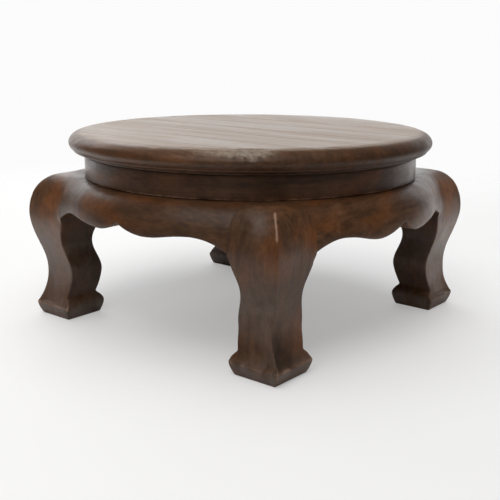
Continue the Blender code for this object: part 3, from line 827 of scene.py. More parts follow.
def wear_rim(disc, top):
    """Uneven rim with a few knocks and a rubbed place in front; stores its wear, the rubbed-through place
    with its painted highlight, the pale upper face with its painted sheen, and painted shade on the rim.
    """
    places, _ = points_of(disc.data)
    heights = places[:, 2]
    between = (heights > heights.min() + TOUCH) & (heights < heights.max() - TOUCH)
    weigh(disc, "rim", between.astype(float))
    work_by_hand(disc, top.unevenness, RIM_WORK_SIZE, "rim")
    disc.vertex_groups.clear()

    places, normals = points_of(disc.data)
    headings = np.arctan2(places[:, 1], places[:, 0])
    turns = (headings - top.rub_turn + math.pi) % math.tau - math.pi
    drop = TABLE_HEIGHT - places[:, 2]
    rubbed = rubbed_shoulder(turns, drop)
    east, north = RUB_OUTWARD * np.cos(headings), RUB_OUTWARD * np.sin(headings)
    planed = np.stack((east, north, np.full(len(turns), RUB_DOWNWARD)), 1)
    places -= planed * (top.rub_depth * rubbed * np.clip(drop / RUB_ONSET, 0, 1) ** 1.5)[:, None]
    knocked = knock_rim(places, normals, top)
    move_points(disc, places)

    rubbed *= np.clip(1 - 2 * knocked, 0, 1) * np.clip(drop / 0.0006 + 0.4, 0, 1)
    rubbed *= np.hypot(places[:, 0], places[:, 1]) > TOP_RADIUS - top.shoulder_width - top.rub_depth
    # Pale upper face, standing for the stain worn pale together with painted sheen
    faded = 1 / (1 + np.exp((drop - PALE_FACE_DEPTH) / PALE_FACE_WIDTH))
    keep_wear(disc.data, 0.2, 0.5 * rubbed)
    # Paler still where rubbed through: bare wood together with a painted highlight
    keep_values(disc.data, "bared", np.clip(1.45 * rubbed, 0, 1))
    keep_values(disc.data, "faded", faded)
    # Painted shade on the rim, darkest where it faces along X
    keep_values(disc.data, "grime", 0.5 * np.cos(headings) ** 2 * (1 - faded))


def cut_board(disc, name, near, far, softness):
    """Board between two lines of constant y, cut from a copy of the disc, with its upper edges eased."""
    pick(disc)
    bpy.ops.object.duplicate()
    board = bpy.context.object
    board.name = name
    bpy.ops.object.mode_set(mode="EDIT")
    for line, side in ((near, -1), (far, 1)):
        if abs(line) < TOP_RADIUS:
            eased = line - side * softness
            for place, slope in (((0, line, 0), (0, side, 0)), ((0, eased, TABLE_HEIGHT), (0, side, 1))):
                bpy.ops.mesh.select_all(action="SELECT")
                bpy.ops.mesh.bisect(
                    plane_co=place, plane_no=slope, use_fill=True, clear_outer=True, threshold=MERGE_DISTANCE
                )
    close_shape()
    return board


class OPIUM_TABLE_OT_top(bpy.types.Operator):
    """Model the boards of the round top"""

    bl_idname = "opium_table.top"
    bl_label = "Top boards"

    def execute(self, context):
        top = context.scene.opium_table_top
        finish = context.scene.opium_table_finish
        wood = made(stained_wood, "top_wood_waxed", finish, True)
        disc = round_top(top)
        wear_rim(disc, top)
        width = 2 * TOP_RADIUS / top.board_count
        for index in range(top.board_count):
            seam = -TOP_RADIUS + width * index
            near = seam + top.seam_gap / 2 if index else -TOP_RADIUS
            far = seam + width - top.seam_gap / 2 if index < top.board_count - 1 else TOP_RADIUS
            node = f"top_board_{index + 1}"
            board = cut_board(disc, f"finished_{node}", near, far, top.seam_softness)
            places, _ = points_of(board.data)
            keep_grain(board.data, places)
            shift_grain(board.data, index)
            settle(board, node, wood)
        bpy.data.objects.remove(disc, do_unlink=True)
        return {"FINISHED"}


class OPIUM_TABLE_OT_waist(bpy.types.Operator):
    """Model the four arcs of the recessed waist"""

    bl_idname = "opium_table.waist"
    bl_label = "Waist"

    def execute(self, context):
        sizes = context.scene.opium_table_apron
        wood = frame_wood(context)
        bore = WAIST_RADIUS - sizes.waist_thickness
        inset = sizes.joint_gap / 4 / bore
        deselect()
        bpy.ops.mesh.primitive_circle_add(vertices=4, fill_type="NGON", enter_editmode=True)
        arc = bpy.context.object
        shape = bmesh.from_edit_mesh(arc.data)
        radii = (bore, WAIST_RADIUS, WAIST_RADIUS, bore)
        heights = (WAIST_FOOT, WAIST_FOOT, WAIST_HEAD, WAIST_HEAD)
        for vert, radius, height in zip(shape.verts, radii, heights):
            vert.co = (radius * math.cos(inset), radius * math.sin(inset), height)
        bmesh.update_edit_mesh(arc.data)
        bpy.ops.mesh.bevel(offset=sizes.waist_softness, segments=WAIST_EDGE_STEPS, affect="VERTICES")
        shape = bmesh.from_edit_mesh(arc.data)
        for edge in shape.edges:
            edge.select_set(edge.calc_length() > 4 * sizes.waist_softness)
        bmesh.update_edit_mesh(arc.data)
        bpy.ops.mesh.subdivide(number_cuts=WAIST_CUTS)
        bpy.ops.mesh.select_all(action="SELECT")
        bpy.ops.mesh.spin(steps=ARC_STEPS, angle=QUARTER_TURN - 2 * inset, center=(0, 0, 0), axis=(0, 0, 1))
        close_shape()
        places, _ = points_of(arc.data)
        keep_wear(arc.data, np.where(places[:, 2] < WAIST_FOOT + 0.002, 0.7, 0.1))
        lengthwise = WAIST_RADIUS * np.arctan2(places[:, 1], places[:, 0])
        outward = np.hypot(places[:, 0], places[:, 1])
        keep_grain(arc.data, np.stack((lengthwise, outward, places[:, 2]), 1))
        nodes = [f"waist_arc_{corner}" for corner in CORNERS]
        for piece, node in zip(turned_copies(arc, nodes), nodes):
            settle(piece, node, wood)
        return {"FINISHED"}


def apron_edge(x, sizes):
    """Height of the apron's lower edge: a cusp, two lobes, a low arch and a fall to each leg."""
    across = abs(x)
    lobe = LEG_TOP - sizes.lobe_depth
    arch_end = LEG_FACE - sizes.spandrel_length
    if across < sizes.lobe_offset:
        return lobe + sizes.cusp_rise * (1 - across / sizes.lobe_offset) ** 2
    if across < arch_end:
        return lobe + sizes.arch_rise * ease((across - sizes.lobe_offset) / (arch_end - sizes.lobe_offset))
    return lobe + sizes.arch_rise - sizes.spandrel_drop * ((across - arch_end) / sizes.spandrel_length) ** 2


def apron_outer(height, sizes):
    """Radius of the apron's swelling outer face."""
    rise = (height - LEG_TOP + sizes.bulge_depth) / sizes.bulge_depth
    swell = math.sqrt(max(1 - rise**2, 0.0)) if rise > 0 else math.cos(rise)
    return WAIST_RADIUS + sizes.shelf + (sizes.bulge - sizes.shelf) * swell


def apron_inner(height, sizes):
    """Radius of the apron's leaning inner face."""
    return sizes.inner_radius + (LEG_TOP - height) * sizes.inner_lean / sizes.lobe_depth


def apron_outline(x, sizes, leg):
    """Slice of the front apron at one place along X, swept up to the leg near its ends."""
    edge = apron_edge(x, sizes)
    near_leg = max(abs(x) - LEG_FACE + sizes.valley_width, 0.0) / sizes.valley_width

    def inner(height, inset=0.0):
        return math.sqrt((apron_inner(height, sizes) + inset) ** 2 - x**2), height

    def outer(height, inset=0.0):
        radius = apron_outer(height, sizes)
        flush = LEG_FACE + leg_reach(height, leg) + leg.web_rise
        lift = max(flush - math.sqrt(radius**2 - LEG_FACE**2), 0.0)
        return math.sqrt((radius - inset) ** 2 - x**2) + lift * near_leg**2, height

    turns = [QUARTER_TURN * step / CORNER_STEPS for step in range(CORNER_STEPS + 1)]
    back, soft = sizes.back_softness, sizes.edge_softness
    points = [inner(blend(LEG_TOP, edge + back, step / INNER_STEPS)) for step in range(INNER_STEPS)]
    points += [inner(edge + back * (1 - math.sin(turn)), back * (1 - math.cos(turn))) for turn in turns]
    rising = reversed(turns)
    front = [outer(edge + soft * (1 - math.sin(turn)), soft * (1 - math.cos(turn))) for turn in rising]
    back_end, front_end = points[-1][0], front[0][0]
    points += [(blend(back_end, front_end, step / EDGE_STEPS), edge) for step in range(1, EDGE_STEPS)]
    points += front
    start = (edge + soft - LEG_TOP + sizes.bulge_depth) / sizes.bulge_depth
    low = math.asin(start) if start > 0 else start
    for step in range(1, FACE_STEPS + 1):
        turn = blend(low, QUARTER_TURN, step / FACE_STEPS)
        rise = math.sin(turn) if turn > 0 else turn
        points.append(outer(LEG_TOP - sizes.bulge_depth * (1 - rise)))
    front_end, back_end = points[-1][0], points[0][0]
    points += [(blend(front_end, back_end, step / EDGE_STEPS), LEG_TOP) for step in range(1, EDGE_STEPS)]
    return [(x, -y, z) for y, z in points]


def stray_edge(piece, turn, stray, drop, sizes):
    """Let an apron's cusp sit off the middle and its lower edge hang lower, as sawn by eye."""
    places, _ = points_of(piece.data)
    low = np.clip((LEG_TOP - places[:, 2]) / sizes.lobe_depth, 0, 1) ** 2
    free = np.clip(1 - (along(places, turn) / LEG_FACE) ** 2, 0, 1)
    x, y = places[:, 0].copy(), places[:, 1].copy()
    swing = stray * low * free**2 / np.hypot(x, y)
    places[:, 0] = x * np.cos(swing) - y * np.sin(swing)
    places[:, 1] = x * np.sin(swing) + y * np.cos(swing)
    places[:, 2] -= drop * low * free * (2 - free)
    move_points(piece, places)


class OPIUM_TABLE_OT_aprons(bpy.types.Operator):
    """Model the four bulging aprons with their cusped lower edge"""

    bl_idname = "opium_table.aprons"
    bl_label = "Aprons"

    def execute(self, context):
        sizes = context.scene.opium_table_apron
        leg = context.scene.opium_table_leg
        wood = frame_wood(context)
        reach = LEG_FACE - sizes.joint_gap / 4
        half = math.ceil(reach / STATION_LENGTH)
        stations = [reach * step / half for step in range(-half, half + 1)]
        apron = loft("apron", [apron_outline(x, sizes, leg) for x in stations])
        keep_wear(apron.data, 0.15)
        places, _ = points_of(apron.data)
        keep_grain(apron.data, places)
        weigh(apron, "faces", np.clip((LEG_FACE - np.abs(places[:, 0])) / sizes.valley_width, 0, 1))
        pieces = turned_copies(apron, [f"apron_{side}" for side in SIDES])
        for index, (piece, side) in enumerate(zip(pieces, SIDES)):
            stray_edge(piece, QUARTER_TURN * index, CUSP_STRAY[index], EDGE_DROP[index], sizes)
            # Lightness of each apron's stain; the paler right-hand apron is painted light
            keep_values(piece.data, "tone", np.full(len(places), APRON_TONE_AND_LIGHT[index]))
            work_by_hand(piece, sizes.unevenness, FRAME_WORK_SIZE, "faces")
            piece.vertex_groups.clear()
            settle(piece, f"apron_{side}", wood)
        return {"FINISHED"}


def leg_reach(height, leg):
    """How far the leg's outer faces stand from the inner face of its top block."""
    knee = LEG_TOP - leg.knee_drop
    if height >= knee:
        share = min((height - knee) / leg.knee_drop, 1.0)
        return blend(leg.crown_reach, KNEE_REACH, math.sqrt(1 - share**2))
    if height >= leg.ankle_height:
        share = (height - leg.ankle_height) / (knee - leg.ankle_height)
        return blend(leg.ankle_reach, KNEE_REACH, ease(share))
    if height >= leg.foot_height:
        share = (leg.ankle_height - height) / (leg.ankle_height - leg.foot_height)
        return blend(leg.ankle_reach, leg.foot_reach, share**FLARE_POWER)
    share = (leg.foot_height - height) / leg.foot_height
    return blend(leg.foot_reach, leg.sole_reach, share**TOE_POWER)


def leg_inset(height, leg, block_foot):
    """How far the leg's inner faces lie outside the inner face of its top block."""
    thigh = (block_foot + leg.ankle_height) / 2
    if height >= block_foot:
        return 0.0
    if height >= thigh:
        return leg.thigh_inset * ease((block_foot - height) / (block_foot - thigh))
    if height >= leg.ankle_height:
        return blend(leg.thigh_inset, leg.calf_inset, ease((thigh - height) / (thigh - leg.ankle_height)))
    if height >= leg.notch_height:
        share = (leg.ankle_height - height) / (leg.ankle_height - leg.notch_height)
        return blend(leg.calf_inset, leg.notch_inset, share**NOTCH_POWER)
    if height >= leg.foot_height:
        share = (height - leg.foot_height) / (leg.notch_height - leg.foot_height)
        return blend(leg.toe_inset, leg.notch_inset, share**2)
    share = (leg.foot_height - height) / leg.foot_height
    return blend(leg.toe_inset, leg.sole_inset, share**TOE_POWER)


def softened(profile, height, reach):
    """Profile averaged over a short height, so that its corners are rounded."""
    samples = [profile(max(height + reach * offset, 0.0)) for offset in (-1, -0.5, 0, 0.5, 1)]
    return sum(samples) / len(samples)


def between_points(first, second, share):
    """Point between two others in the plane."""
    return blend(first[0], second[0], share), blend(first[1], second[1], share)


def leg_web(outer, inner, leg):
    """Strip of the leg's face beside an apron, risen to the apron's own face at the joint."""
    strip = [(outer + leg.web_rise - WEB_LIP, inner)]
    for step in range(CORNER_STEPS):
        share = step / (CORNER_STEPS - 1)
        strip.append((outer + leg.web_rise * (1 - share) ** 2, inner + leg.web_width * share))
    return strip


def ankle_hollow(height, leg):
    """Depth of the scoop in the leg's outer faces, deepest just above the foot."""
    above = (height - leg.foot_height) / leg.hollow_height
    if not 0 < above < 1:
        return 0.0
    return leg.hollow_depth * ramp(above, 0.0, HOLLOW_LIP) * (1 - above) ** HOLLOW_POWER


def scooped(outer, off_ridge, width, depth, leg):
    """Outer face at a distance from the ridge, with the scoop taken out."""
    across = max(off_ridge / width, 0.0)
    share = across / leg.hollow_place
    return outer - depth * share * math.exp(1 - share) * (1 - HOLLOW_EDGE * across)


def leg_outline(height, leg, block_foot):
    """Level slice of the first leg: a square whose four corners are rounded each in its own way."""
    knee = LEG_TOP - leg.knee_drop
    soft = leg.profile_softness if height < knee else 0.0
    outer = LEG_FACE + softened(lambda z: leg_reach(z, leg), height, soft)
    inner = LEG_FACE + softened(lambda z: leg_inset(z, leg, block_foot), height, soft)
    if height < leg.sole_softness:
        left = leg.sole_softness - height
        shy = leg.sole_softness - math.sqrt(max(leg.sole_softness**2 - left**2, 0.0))
        outer, inner = outer - shy, inner + shy
    beside_apron = ramp(height, block_foot - WEB_BELOW, block_foot + WEB_ABOVE)
    at_crown = ramp(height, knee + CROWN_START, LEG_TOP) ** 2
    ridge = blend(leg.ridge_softness, leg.crown_softness, at_crown)
    side = leg.side_softness
    corners = ((inner, inner, side), (outer, inner, side), (outer, outer, ridge), (inner, outer, side))
    rounded = []
    for index, (x, y, soft) in enumerate(corners):
        middle_x = x + soft if index in (0, 3) else x - soft
        middle_y = y + soft if index in (0, 1) else y - soft
        for step in range(CORNER_STEPS + 1):
            turn = QUARTER_TURN * (index + 2 + step / CORNER_STEPS)
            rounded.append((middle_x + soft * math.cos(turn), middle_y + soft * math.sin(turn)))
    web = leg_web(outer, inner, leg)
    mirrored = [(y, x) for x, y in reversed(web)]
    count = CORNER_STEPS + 1
    for start, curve in ((count, web), (3 * count, mirrored)):
        for index, point in enumerate(curve, start):
            rounded[index] = between_points(rounded[index], point, beside_apron)
    outline = []
    for index, point in enumerate(rounded):
        outline.append((*point, height))
        if index % count == CORNER_STEPS:
            following = rounded[(index + 1) % len(rounded)]
            for step in range(1, SIDE_STEPS):
                outline.append((*between_points(point, following, step / SIDE_STEPS), height))
    depth, width = ankle_hollow(height, leg), outer - inner
    if depth:
        for index, (x, y, z) in enumerate(outline):
            near_x, near_y = outer - x < ridge, outer - y < ridge
            new_x = scooped(x, outer - y, width, depth, leg) if near_x else x
            new_y = scooped(y, outer - x, width, depth, leg) if near_y else y
            outline[index] = (new_x, new_y, z)
    return outline


def leg_slices(leg):
    """Heights of the leg's slices: close at the sole, even up to the knee, then round the crown."""
    knee = LEG_TOP - leg.knee_drop
    turns = [QUARTER_TURN * step / SOLE_STEPS for step in range(SOLE_STEPS + 1)]
    heights = [leg.sole_softness * (1 - math.cos(turn)) for turn in turns]
    count = math.ceil((knee - heights[-1]) / SLICE_LENGTH)
    heights += [blend(heights[SOLE_STEPS], knee, step / count) for step in range(1, count)]
    turns = [QUARTER_TURN * step / CROWN_SLICES for step in range(CROWN_SLICES + 1)]
    return heights + [knee + leg.knee_drop * math.sin(turn) for turn in turns]


def outer_faces(heights, leg):
    """Where the outer faces of the first leg lie at each of several heights."""
    return LEG_FACE + np.array([leg_reach(height, leg) for height in heights])


def leg_axes(turn):
    """Directions of a leg in the plane: outward along its diagonal, and sideways from that."""
    outward = np.array((math.cos(turn + EIGHTH_TURN), math.sin(turn + EIGHTH_TURN)))
    return outward, np.array((-outward[1], outward[0]))


def rubbed_ridge(places, leg):
    """How rubbed the first leg is by its place: most on the ridge of the knee, some at the ankle."""
    knee = LEG_TOP - leg.knee_drop
    heights = places[:, 2]
    off_ridge = outer_faces(heights, leg) - np.minimum(places[:, 0], places[:, 1])
    at_knee = np.clip((heights - knee - KNEE_RUB_START) / KNEE_RUB_GROWTH, 0, 1)
    at_knee = at_knee * np.clip((LEG_TOP - KNEE_RUB_CLEAR - heights) / KNEE_RUB_CLEAR, 0, 1)
    at_ankle = 0.45 * bell(heights - leg.foot_height, *ANKLE_RUB)
    at_top = 0.2 * bell(LEG_TOP - heights, *CROWN_RUB) * bell(off_ridge, *CROWN_RIDGE_RUB)
    return bell(off_ridge, 0.0, leg.rub_width) * (at_knee + at_ankle) + at_top


def stray_ridge(piece, turn, share, leg):
    """Let a leg's ridge stray sideways near the foot, as carving by eye leaves it."""
    places, _ = points_of(piece.data)
    heights = places[:, 2]
    outward, sideways = leg_axes(turn)
    ridge = math.sqrt(2) * outer_faces(heights, leg)
    off_ridge = np.hypot(places[:, :2] @ outward - ridge, places[:, :2] @ sideways)
    at_ankle = bell(heights - leg.ankle_height, *ANKLE_STRAY)
    at_foot = bell(heights - leg.foot_height, *FOOT_STRAY)
    moved = leg.stray * share * (0.8 * at_foot - at_ankle) * bell(off_ridge, 0.0, leg.stray_width)
    places[:, :2] += sideways * moved[:, None]
    move_points(piece, places)


def deepen_hollow(piece, turn, share, leg):
    """Scoop one face of a leg deeper above the foot, and store painted shade that darkens the scoop."""
    places, _ = points_of(piece.data)
    heights = places[:, 2]
    outward, sideways = leg_axes(turn)
    face = (outward + sideways) / math.sqrt(2)
    on_face = bell(places[:, :2] @ face, outer_faces(heights, leg), DEEP_REACH, power=4)
    above = np.clip((heights - leg.foot_height) / leg.hollow_height, 0, 1)
    across = np.clip(places[:, :2] @ sideways * math.sqrt(2), 0, None) / (leg.deep_width * (1.2 - above))
    sunk = share * on_face * np.clip(above / DEEP_LIP, 0, 1) * (1 - above) * across * np.exp(1 - across)
    places[:, :2] -= face * (leg.deepening * sunk)[:, None]
    move_points(piece, places)
    # Painted shade stored for the scoop, darkest where it is sunk deepest
    keep_values(piece.data, "grime", np.clip(1.5 * sunk, 0, 1))


def stout_foot(piece, share, leg):
    """Make a foot and its ankle a little stouter than drawn, as hand work leaves them."""
    places, _ = points_of(piece.data)
    sole = places[places[:, 2] < TOUCH, :2]
    middle = (sole.max(0) + sole.min(0)) / 2
    above = np.clip((places[:, 2] - leg.stout_height) / leg.stout_fade, 0, 1)
    places[:, :2] += (places[:, :2] - middle) * (share * (1 - above**2 * (3 - 2 * above)))[:, None]
    move_points(piece, places)


def scuff_and_sheen_knee(piece, turn, share, leg):
    """Grey the left-hand face of a knee, where it is knocked most, with scuffing and a painted sheen."""
    places, _ = points_of(piece.data)
    left = -places[:, :2] @ leg_axes(turn)[1]
    patch = bell(left, *KNEE_SCUFF_AND_SHEEN_ACROSS) * bell(LEG_TOP - places[:, 2], *KNEE_SCUFF_AND_SHEEN_DOWN)
    keep_values(piece.data, "scuffed", scuff_and_sheen_shin(places, leg) + share * patch)


def scuff_and_sheen_shin(places, leg):
    """How greyed the leg is, by brushing feet and brooms and by a painted sheen: most on the shin and the
    block foot.
    """
    heights = places[:, 2]
    shin = bell(heights - leg.ankle_height, *SHIN_SCUFF_AND_SHEEN)
    return np.maximum(shin, 1.5 * bell(heights, *FOOT_SCUFF_AND_SHEEN))


def leg_tone_and_light(piece, index):
    """Painted light and shade on each side of a leg, as a paler or darker stain: two outer faces, then the
    inner ones.
    """
    _, normals = points_of(piece.data)
    tone = np.zeros(len(normals))
    *outer_tones_and_light, inner_tone_and_shade = LEG_TONE_AND_LIGHT[index]
    for face, outer_tone_and_light in enumerate(outer_tones_and_light, index):
        facing = along(normals, QUARTER_TURN * face)
        tone += outer_tone_and_light * np.clip(facing, 0, 1) + inner_tone_and_shade * np.clip(-facing, 0, 1)
    return tone


class OPIUM_TABLE_OT_legs(bpy.types.Operator):
    """Model the four cabriole legs with their block feet"""

    bl_idname = "opium_table.legs"
    bl_label = "Legs"

    def execute(self, context):
        leg = context.scene.opium_table_leg
        sizes = context.scene.opium_table_apron
        wood = frame_wood(context)
        block_foot = LEG_TOP - sizes.lobe_depth + sizes.arch_rise - sizes.spandrel_drop
        first = loft("leg", [leg_outline(height, leg, block_foot) for height in leg_slices(leg)])
        places, _ = points_of(first.data)
        at_edge = bell(places[:, 2] - leg.foot_height, *EDGE_RUB)
        keep_wear(first.data, 0.9 * at_edge, rubbed_ridge(places, leg))
        keep_grain(first.data, places[:, (2, 0, 1)])
        free = np.clip((places[:, :2].min(1) - LEG_FACE) / leg.web_width, 0, 1)
        at_end = (places[:, 2] < TOUCH) | (places[:, 2] > LEG_TOP - TOUCH)
        weigh(first, "faces", np.where(at_end, 0.0, free))
        pieces = turned_copies(first, [f"leg_{corner}" for corner in CORNERS])
        for index, (piece, corner) in enumerate(zip(pieces, CORNERS)):
            turn = QUARTER_TURN * index
            scuff_and_sheen_knee(piece, turn, KNEE_SCUFF_AND_SHEEN[index], leg)
            deepen_hollow(piece, turn, HOLLOW_SHARE[index], leg)
            stray_ridge(piece, turn, RIDGE_STRAY[index], leg)
            stout_foot(piece, STOUT_FOOT[index], leg)
            # Painted light and shade on the leg's faces, stored with the lightness of the stain
            keep_values(piece.data, "tone", leg_tone_and_light(piece, index))
            work_by_hand(piece, leg.unevenness, FRAME_WORK_SIZE, "faces")
            piece.vertex_groups.clear()
            settle(piece, f"leg_{corner}", wood)
        return {"FINISHED"}


def plain_copy(node):
    """Copy of a solid of the part with its triangles joined up."""
    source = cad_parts[node]
    piece = bpy.data.objects.new(f"finished_{node}", source.data.copy())
    bpy.context.scene.collection.objects.link(piece)
    pick(piece)
    bpy.ops.object.mode_set(mode="EDIT")
    bpy.ops.mesh.select_all(action="SELECT")
    bpy.ops.mesh.remove_doubles(threshold=MERGE_DISTANCE)
    bpy.ops.mesh.dissolve_limited(angle_limit=FLAT_ANGLE)
    bpy.ops.object.mode_set(mode="OBJECT")
    return piece


def softened_copy(node, softness):
    """Copy of a plain solid with its sharp edges taken off."""
    piece = plain_copy(node)
    bpy.ops.object.modifier_add(type="BEVEL")
    bevel = piece.modifiers[-1]
    bevel.width = softness
    bevel.segments = SOFT_EDGE_STEPS
    bevel.limit_method = "ANGLE"
    bevel.angle_limit = SHARP_ANGLE
    bpy.ops.object.modifier_apply(modifier=bevel.name)
    bpy.ops.object.shade_smooth_by_angle(angle=SMOOTH_ANGLE)
    return piece


class OPIUM_TABLE_OT_underside(bpy.types.Operator):
    """Finish the battens and corner braces under the top"""

    bl_idname = "opium_table.underside"
    bl_label = "Battens and braces"

    def execute(self, context):
        finish = context.scene.opium_table_finish
        softness = context.scene.opium_table_underside.softness
        wood = made(bare_wood, "hidden_wood_sawn", finish, True)
        for index, side in enumerate(("left", "right")):
            piece = softened_copy(f"top_batten_{side}", softness)
            places, _ = points_of(piece.data)
            keep_grain(piece.data, places[:, (1, 0, 2)])
            shift_grain(piece.data, index)
            settle(piece, f"top_batten_{side}", wood)
        for index, corner in enumerate(CORNERS):
            piece = softened_copy(f"corner_brace_{corner}", softness)
            places, _ = points_of(piece.data)
            outward, sideways = leg_axes(QUARTER_TURN * index)
            flat = places[:, :2]
            keep_grain(piece.data, np.stack((flat @ sideways, flat @ outward, places[:, 2]), 1))
            shift_grain(piece.data, index)
            settle(piece, f"corner_brace_{corner}", wood)
        return {"FINISHED"}


def slotted_screw(node, facing, turn):
    """Copy of a plain screw with a driver slot sawn across its head."""
    piece = plain_copy(node)
    places, _ = points_of(piece.data)
    heights = places @ np.array(facing)
    head = places[heights > heights.max() - SLOT_DEPTH / 10]
    deselect()
    across = Vector(facing).to_track_quat("Z", "Y") @ Quaternion((0, 0, 1), turn)
    bpy.ops.mesh.primitive_cube_add(size=1, location=head.mean(0), rotation=across.to_euler())
    saw = bpy.context.object
    saw.scale = (SLOT_WIDTH, SLOT_LENGTH, 2 * SLOT_DEPTH)
    pick(piece)
    bpy.ops.object.modifier_add(type="BOOLEAN")
    slot = piece.modifiers[-1]
    slot.operation = "DIFFERENCE"
    slot.object = saw
    bpy.ops.object.modifier_apply(modifier=slot.name)
    bpy.ops.object.shade_smooth_by_angle(angle=SMOOTH_ANGLE)
    pick(saw)
    bpy.ops.object.delete()
    return piece


class OPIUM_TABLE_OT_fixings(bpy.types.Operator):
    """Finish the screws and the small pieces inside the joints"""

    bl_idname = "opium_table.fixings"
    bl_label = "Screws and joint pieces"

    def execute(self, context):
        finish = context.scene.opium_table_finish
        steel = made(screw_steel, "screw_steel_aged", finish)
        wood = made(bare_wood, "joint_wood", finish, False)
        screws = {name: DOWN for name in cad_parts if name.startswith(("batten_screw", "top_screw"))}
        for index, corner in enumerate(CORNERS):
            outward, _ = leg_axes(QUARTER_TURN * index)
            screws[f"leg_screw_{corner}"] = (*-outward, 0.0)
        for index, (name, facing) in enumerate(sorted(screws.items())):
            settle(slotted_screw(name, facing, SLOT_TURN * index), name, steel)
        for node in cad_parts.values():
            if not node.hide_render:
                node.data.materials.clear()
                node.data.materials.append(wood)
        return {"FINISHED"}


def soft_light(name, place, size, power, colour_of_light):
    """Wide soft light that faces the table."""
    bpy.ops.object.light_add(type="AREA", location=place)
    light = bpy.context.object
    light.name = name
    aim = Vector((0, 0, AIM_HEIGHT)) - place
    light.rotation_euler = aim.to_track_quat("-Z", "Y").to_euler()
    light.data.shape = "RECTANGLE"
    light.data.size, light.data.size_y = size
    light.data.energy = power
    light.data.color = colour_of_light
    return light


def floor_paint(studio):
    """Pale floor with a light shadow that fades out; it lights the table most from the sides."""
    material, tree, shader = new_material("pale_floor")
    shader.inputs["Roughness"].default_value = 0.75
    shader.inputs["Specular IOR Level"].default_value = 0.15
    place = object_place(tree)
    away = add_node(tree, "ShaderNodeVectorMath", {"operation": "LENGTH"})
    tree.links.new(place, away.inputs[0])
    away = away.outputs["Value"]
    ahead = add_node(tree, "ShaderNodeVectorMath", {"operation": "DOT_PRODUCT"})
    tree.links.new(place, ahead.inputs[0])
    ahead.inputs[1].default_value = (-math.sin(studio.azimuth), math.cos(studio.azimuth), 0.0)
    behind = math_node(tree, "DIVIDE", ahead.outputs["Value"], away)
    seen = add_node(tree, "ShaderNodeLightPath").outputs["Is Camera Ray"]
    front = spread_range(tree, behind, -0.2, 0.5, 0.85, 0.0)
    dim = times(tree, front, spread_range(tree, away, 0.45, 0.95))
    thrown = mix(tree, dim, studio.thrown, BLACK)
    tree.links.new(mix(tree, seen, thrown, studio.floor), shader.inputs["Base Color"])
    beside = spread_range(tree, behind, -0.75, 0.05)
    glow = times(tree, beside, spread_range(tree, away, 0.3, 0.55))
    far = spread_range(tree, away, 0.65, 0.95)
    far = times(tree, far, spread_range(tree, behind, 0.2, 0.6, 1.0, 0.0))
    near = spread_range(tree, away, 0.5, 0.9, 0.4, 0.0)
    near = times(tree, near, spread_range(tree, behind, 0.4, 0.8))
    glow = times(tree, glow, math_node(tree, "SUBTRACT", 1.0, plus(tree, far, near)))
    glow = mix(tree, seen, mix(tree, glow, BLACK, [studio.glow] * 3), [studio.lift] * 3)
    tree.links.new(glow, shader.inputs["Emission Color"])
    shader.inputs["Emission Strength"].default_value = 1.0
    clear = add_node(tree, "ShaderNodeBsdfTransparent")
    edge = times(tree, seen, spread_range(tree, away, 0.7, 1.7))
    fade = add_node(tree, "ShaderNodeMixShader", Fac=edge)
    tree.links.new(shader.outputs[0], fade.inputs[1])
    tree.links.new(clear.outputs[0], fade.inputs[2])
    tree.links.new(fade.outputs[0], tree.nodes["Material Output"].inputs["Surface"])
    return material


def light_surroundings(scene, studio):
    """Pale backdrop that gives only a little light of its own."""
    world = bpy.data.worlds.new("studio")
    scene.world = world
    world.use_nodes = True
    tree = world.node_tree
    seen = add_node(tree, "ShaderNodeLightPath").outputs["Is Camera Ray"]
    dim = [studio.sky_strength] * 3
    background = tree.nodes["Background"]
    tree.links.new(mix(tree, seen, dim, studio.backdrop), background.inputs["Color"])
    background.inputs["Strength"].default_value = 1.0


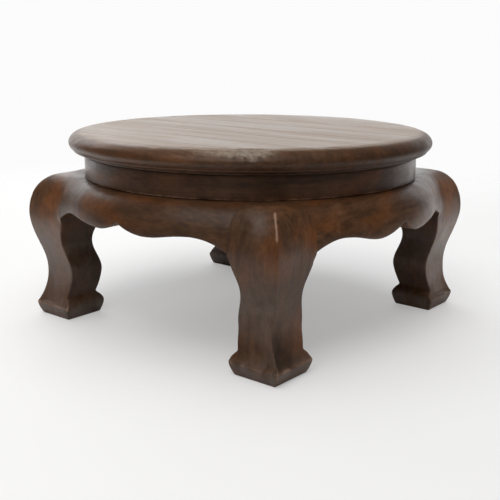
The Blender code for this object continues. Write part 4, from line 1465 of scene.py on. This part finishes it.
class OPIUM_TABLE_OT_stage(bpy.types.Operator):
    """Set up the pale floor, the soft light and the camera"""

    bl_idname = "opium_table.stage"
    bl_label = "Floor, light and camera"

    def execute(self, context):
        studio = context.scene.opium_table_studio
        deselect()
        bpy.ops.mesh.primitive_circle_add(vertices=FLOOR_STEPS, radius=FLOOR_RADIUS, fill_type="NGON")
        floor = bpy.context.object
        floor.name = "floor"
        floor.data.materials.append(floor_paint(studio))
        light_surroundings(context.scene, studio)

        forward = Vector((-math.sin(studio.azimuth), math.cos(studio.azimuth), 0.0))
        right = Vector((math.cos(studio.azimuth), math.sin(studio.azimuth), 0.0))
        up = Vector((0, 0, 1))
        for name, ((ahead, aside, above), size, tint) in LIGHTS.items():
            place = forward * ahead + right * aside + up * above
            power = getattr(studio, f"{name}_power")
            light = soft_light(f"{name}_light", place, size, power, tint)
            light.visible_glossy = name != "top"

        away = -forward * math.cos(studio.elevation) + up * math.sin(studio.elevation)
        bpy.ops.object.camera_add(location=up * studio.target_height + away * studio.distance)
        camera = bpy.context.object
        camera.name = "camera"
        level = (-away).to_track_quat("-Z", "Y").to_matrix()
        camera.rotation_euler = (level @ Matrix.Rotation(studio.roll, 3, "Z")).to_euler()
        camera.data.lens = studio.lens
        camera.data.sensor_width = SENSOR_WIDTH
        camera.data.shift_y = studio.shift
        context.scene.camera = camera
        context.scene.view_settings.view_transform = "Standard"
        return {"FINISHED"}


class OPIUM_TABLE_PT_panel(bpy.types.Panel):
    """Steps that dress the table, and the values that they use"""

    bl_idname = "OPIUM_TABLE_PT_panel"
    bl_label = "Opium table"
    bl_space_type = "VIEW_3D"
    bl_region_type = "UI"
    bl_category = "Opium Table"

    def draw(self, context):
        for operator in OPERATORS:
            self.layout.operator(operator.bl_idname)
        for name in GROUPS:
            group = getattr(context.scene, name)
            column = self.layout.column(heading=name.replace("_", " "))
            for key in group.bl_rna.properties.keys():
                if key not in ("rna_type", "name"):
                    column.prop(group, key)


GROUPS = {
    "opium_table_top": OpiumTableTop,
    "opium_table_apron": OpiumTableApron,
    "opium_table_leg": OpiumTableLeg,
    "opium_table_underside": OpiumTableUnderside,
    "opium_table_finish": OpiumTableFinish,
    "opium_table_studio": OpiumTableStudio,
}
OPERATORS = (
    OPIUM_TABLE_OT_top,
    OPIUM_TABLE_OT_waist,
    OPIUM_TABLE_OT_aprons,
    OPIUM_TABLE_OT_legs,
    OPIUM_TABLE_OT_underside,
    OPIUM_TABLE_OT_fixings,
    OPIUM_TABLE_OT_stage,
)


def register():
    """Make the value groups, the steps and the panel known to Blender."""
    for made_class in (*GROUPS.values(), *OPERATORS, OPIUM_TABLE_PT_panel):
        bpy.utils.register_class(made_class)
    for name, group in GROUPS.items():
        setattr(bpy.types.Scene, name, PointerProperty(type=group))


def unregister():
    """Take all of it out again."""
    for name in GROUPS:
        delattr(bpy.types.Scene, name)
    for made_class in reversed((*GROUPS.values(), *OPERATORS, OPIUM_TABLE_PT_panel)):
        bpy.utils.unregister_class(made_class)


def main():
    """Run every step in order."""
    register()
    bpy.ops.opium_table.top()
    bpy.ops.opium_table.waist()
    bpy.ops.opium_table.aprons()
    bpy.ops.opium_table.legs()
    bpy.ops.opium_table.underside()
    bpy.ops.opium_table.fixings()
    bpy.ops.opium_table.stage()


if __name__ == "__main__":
    main()
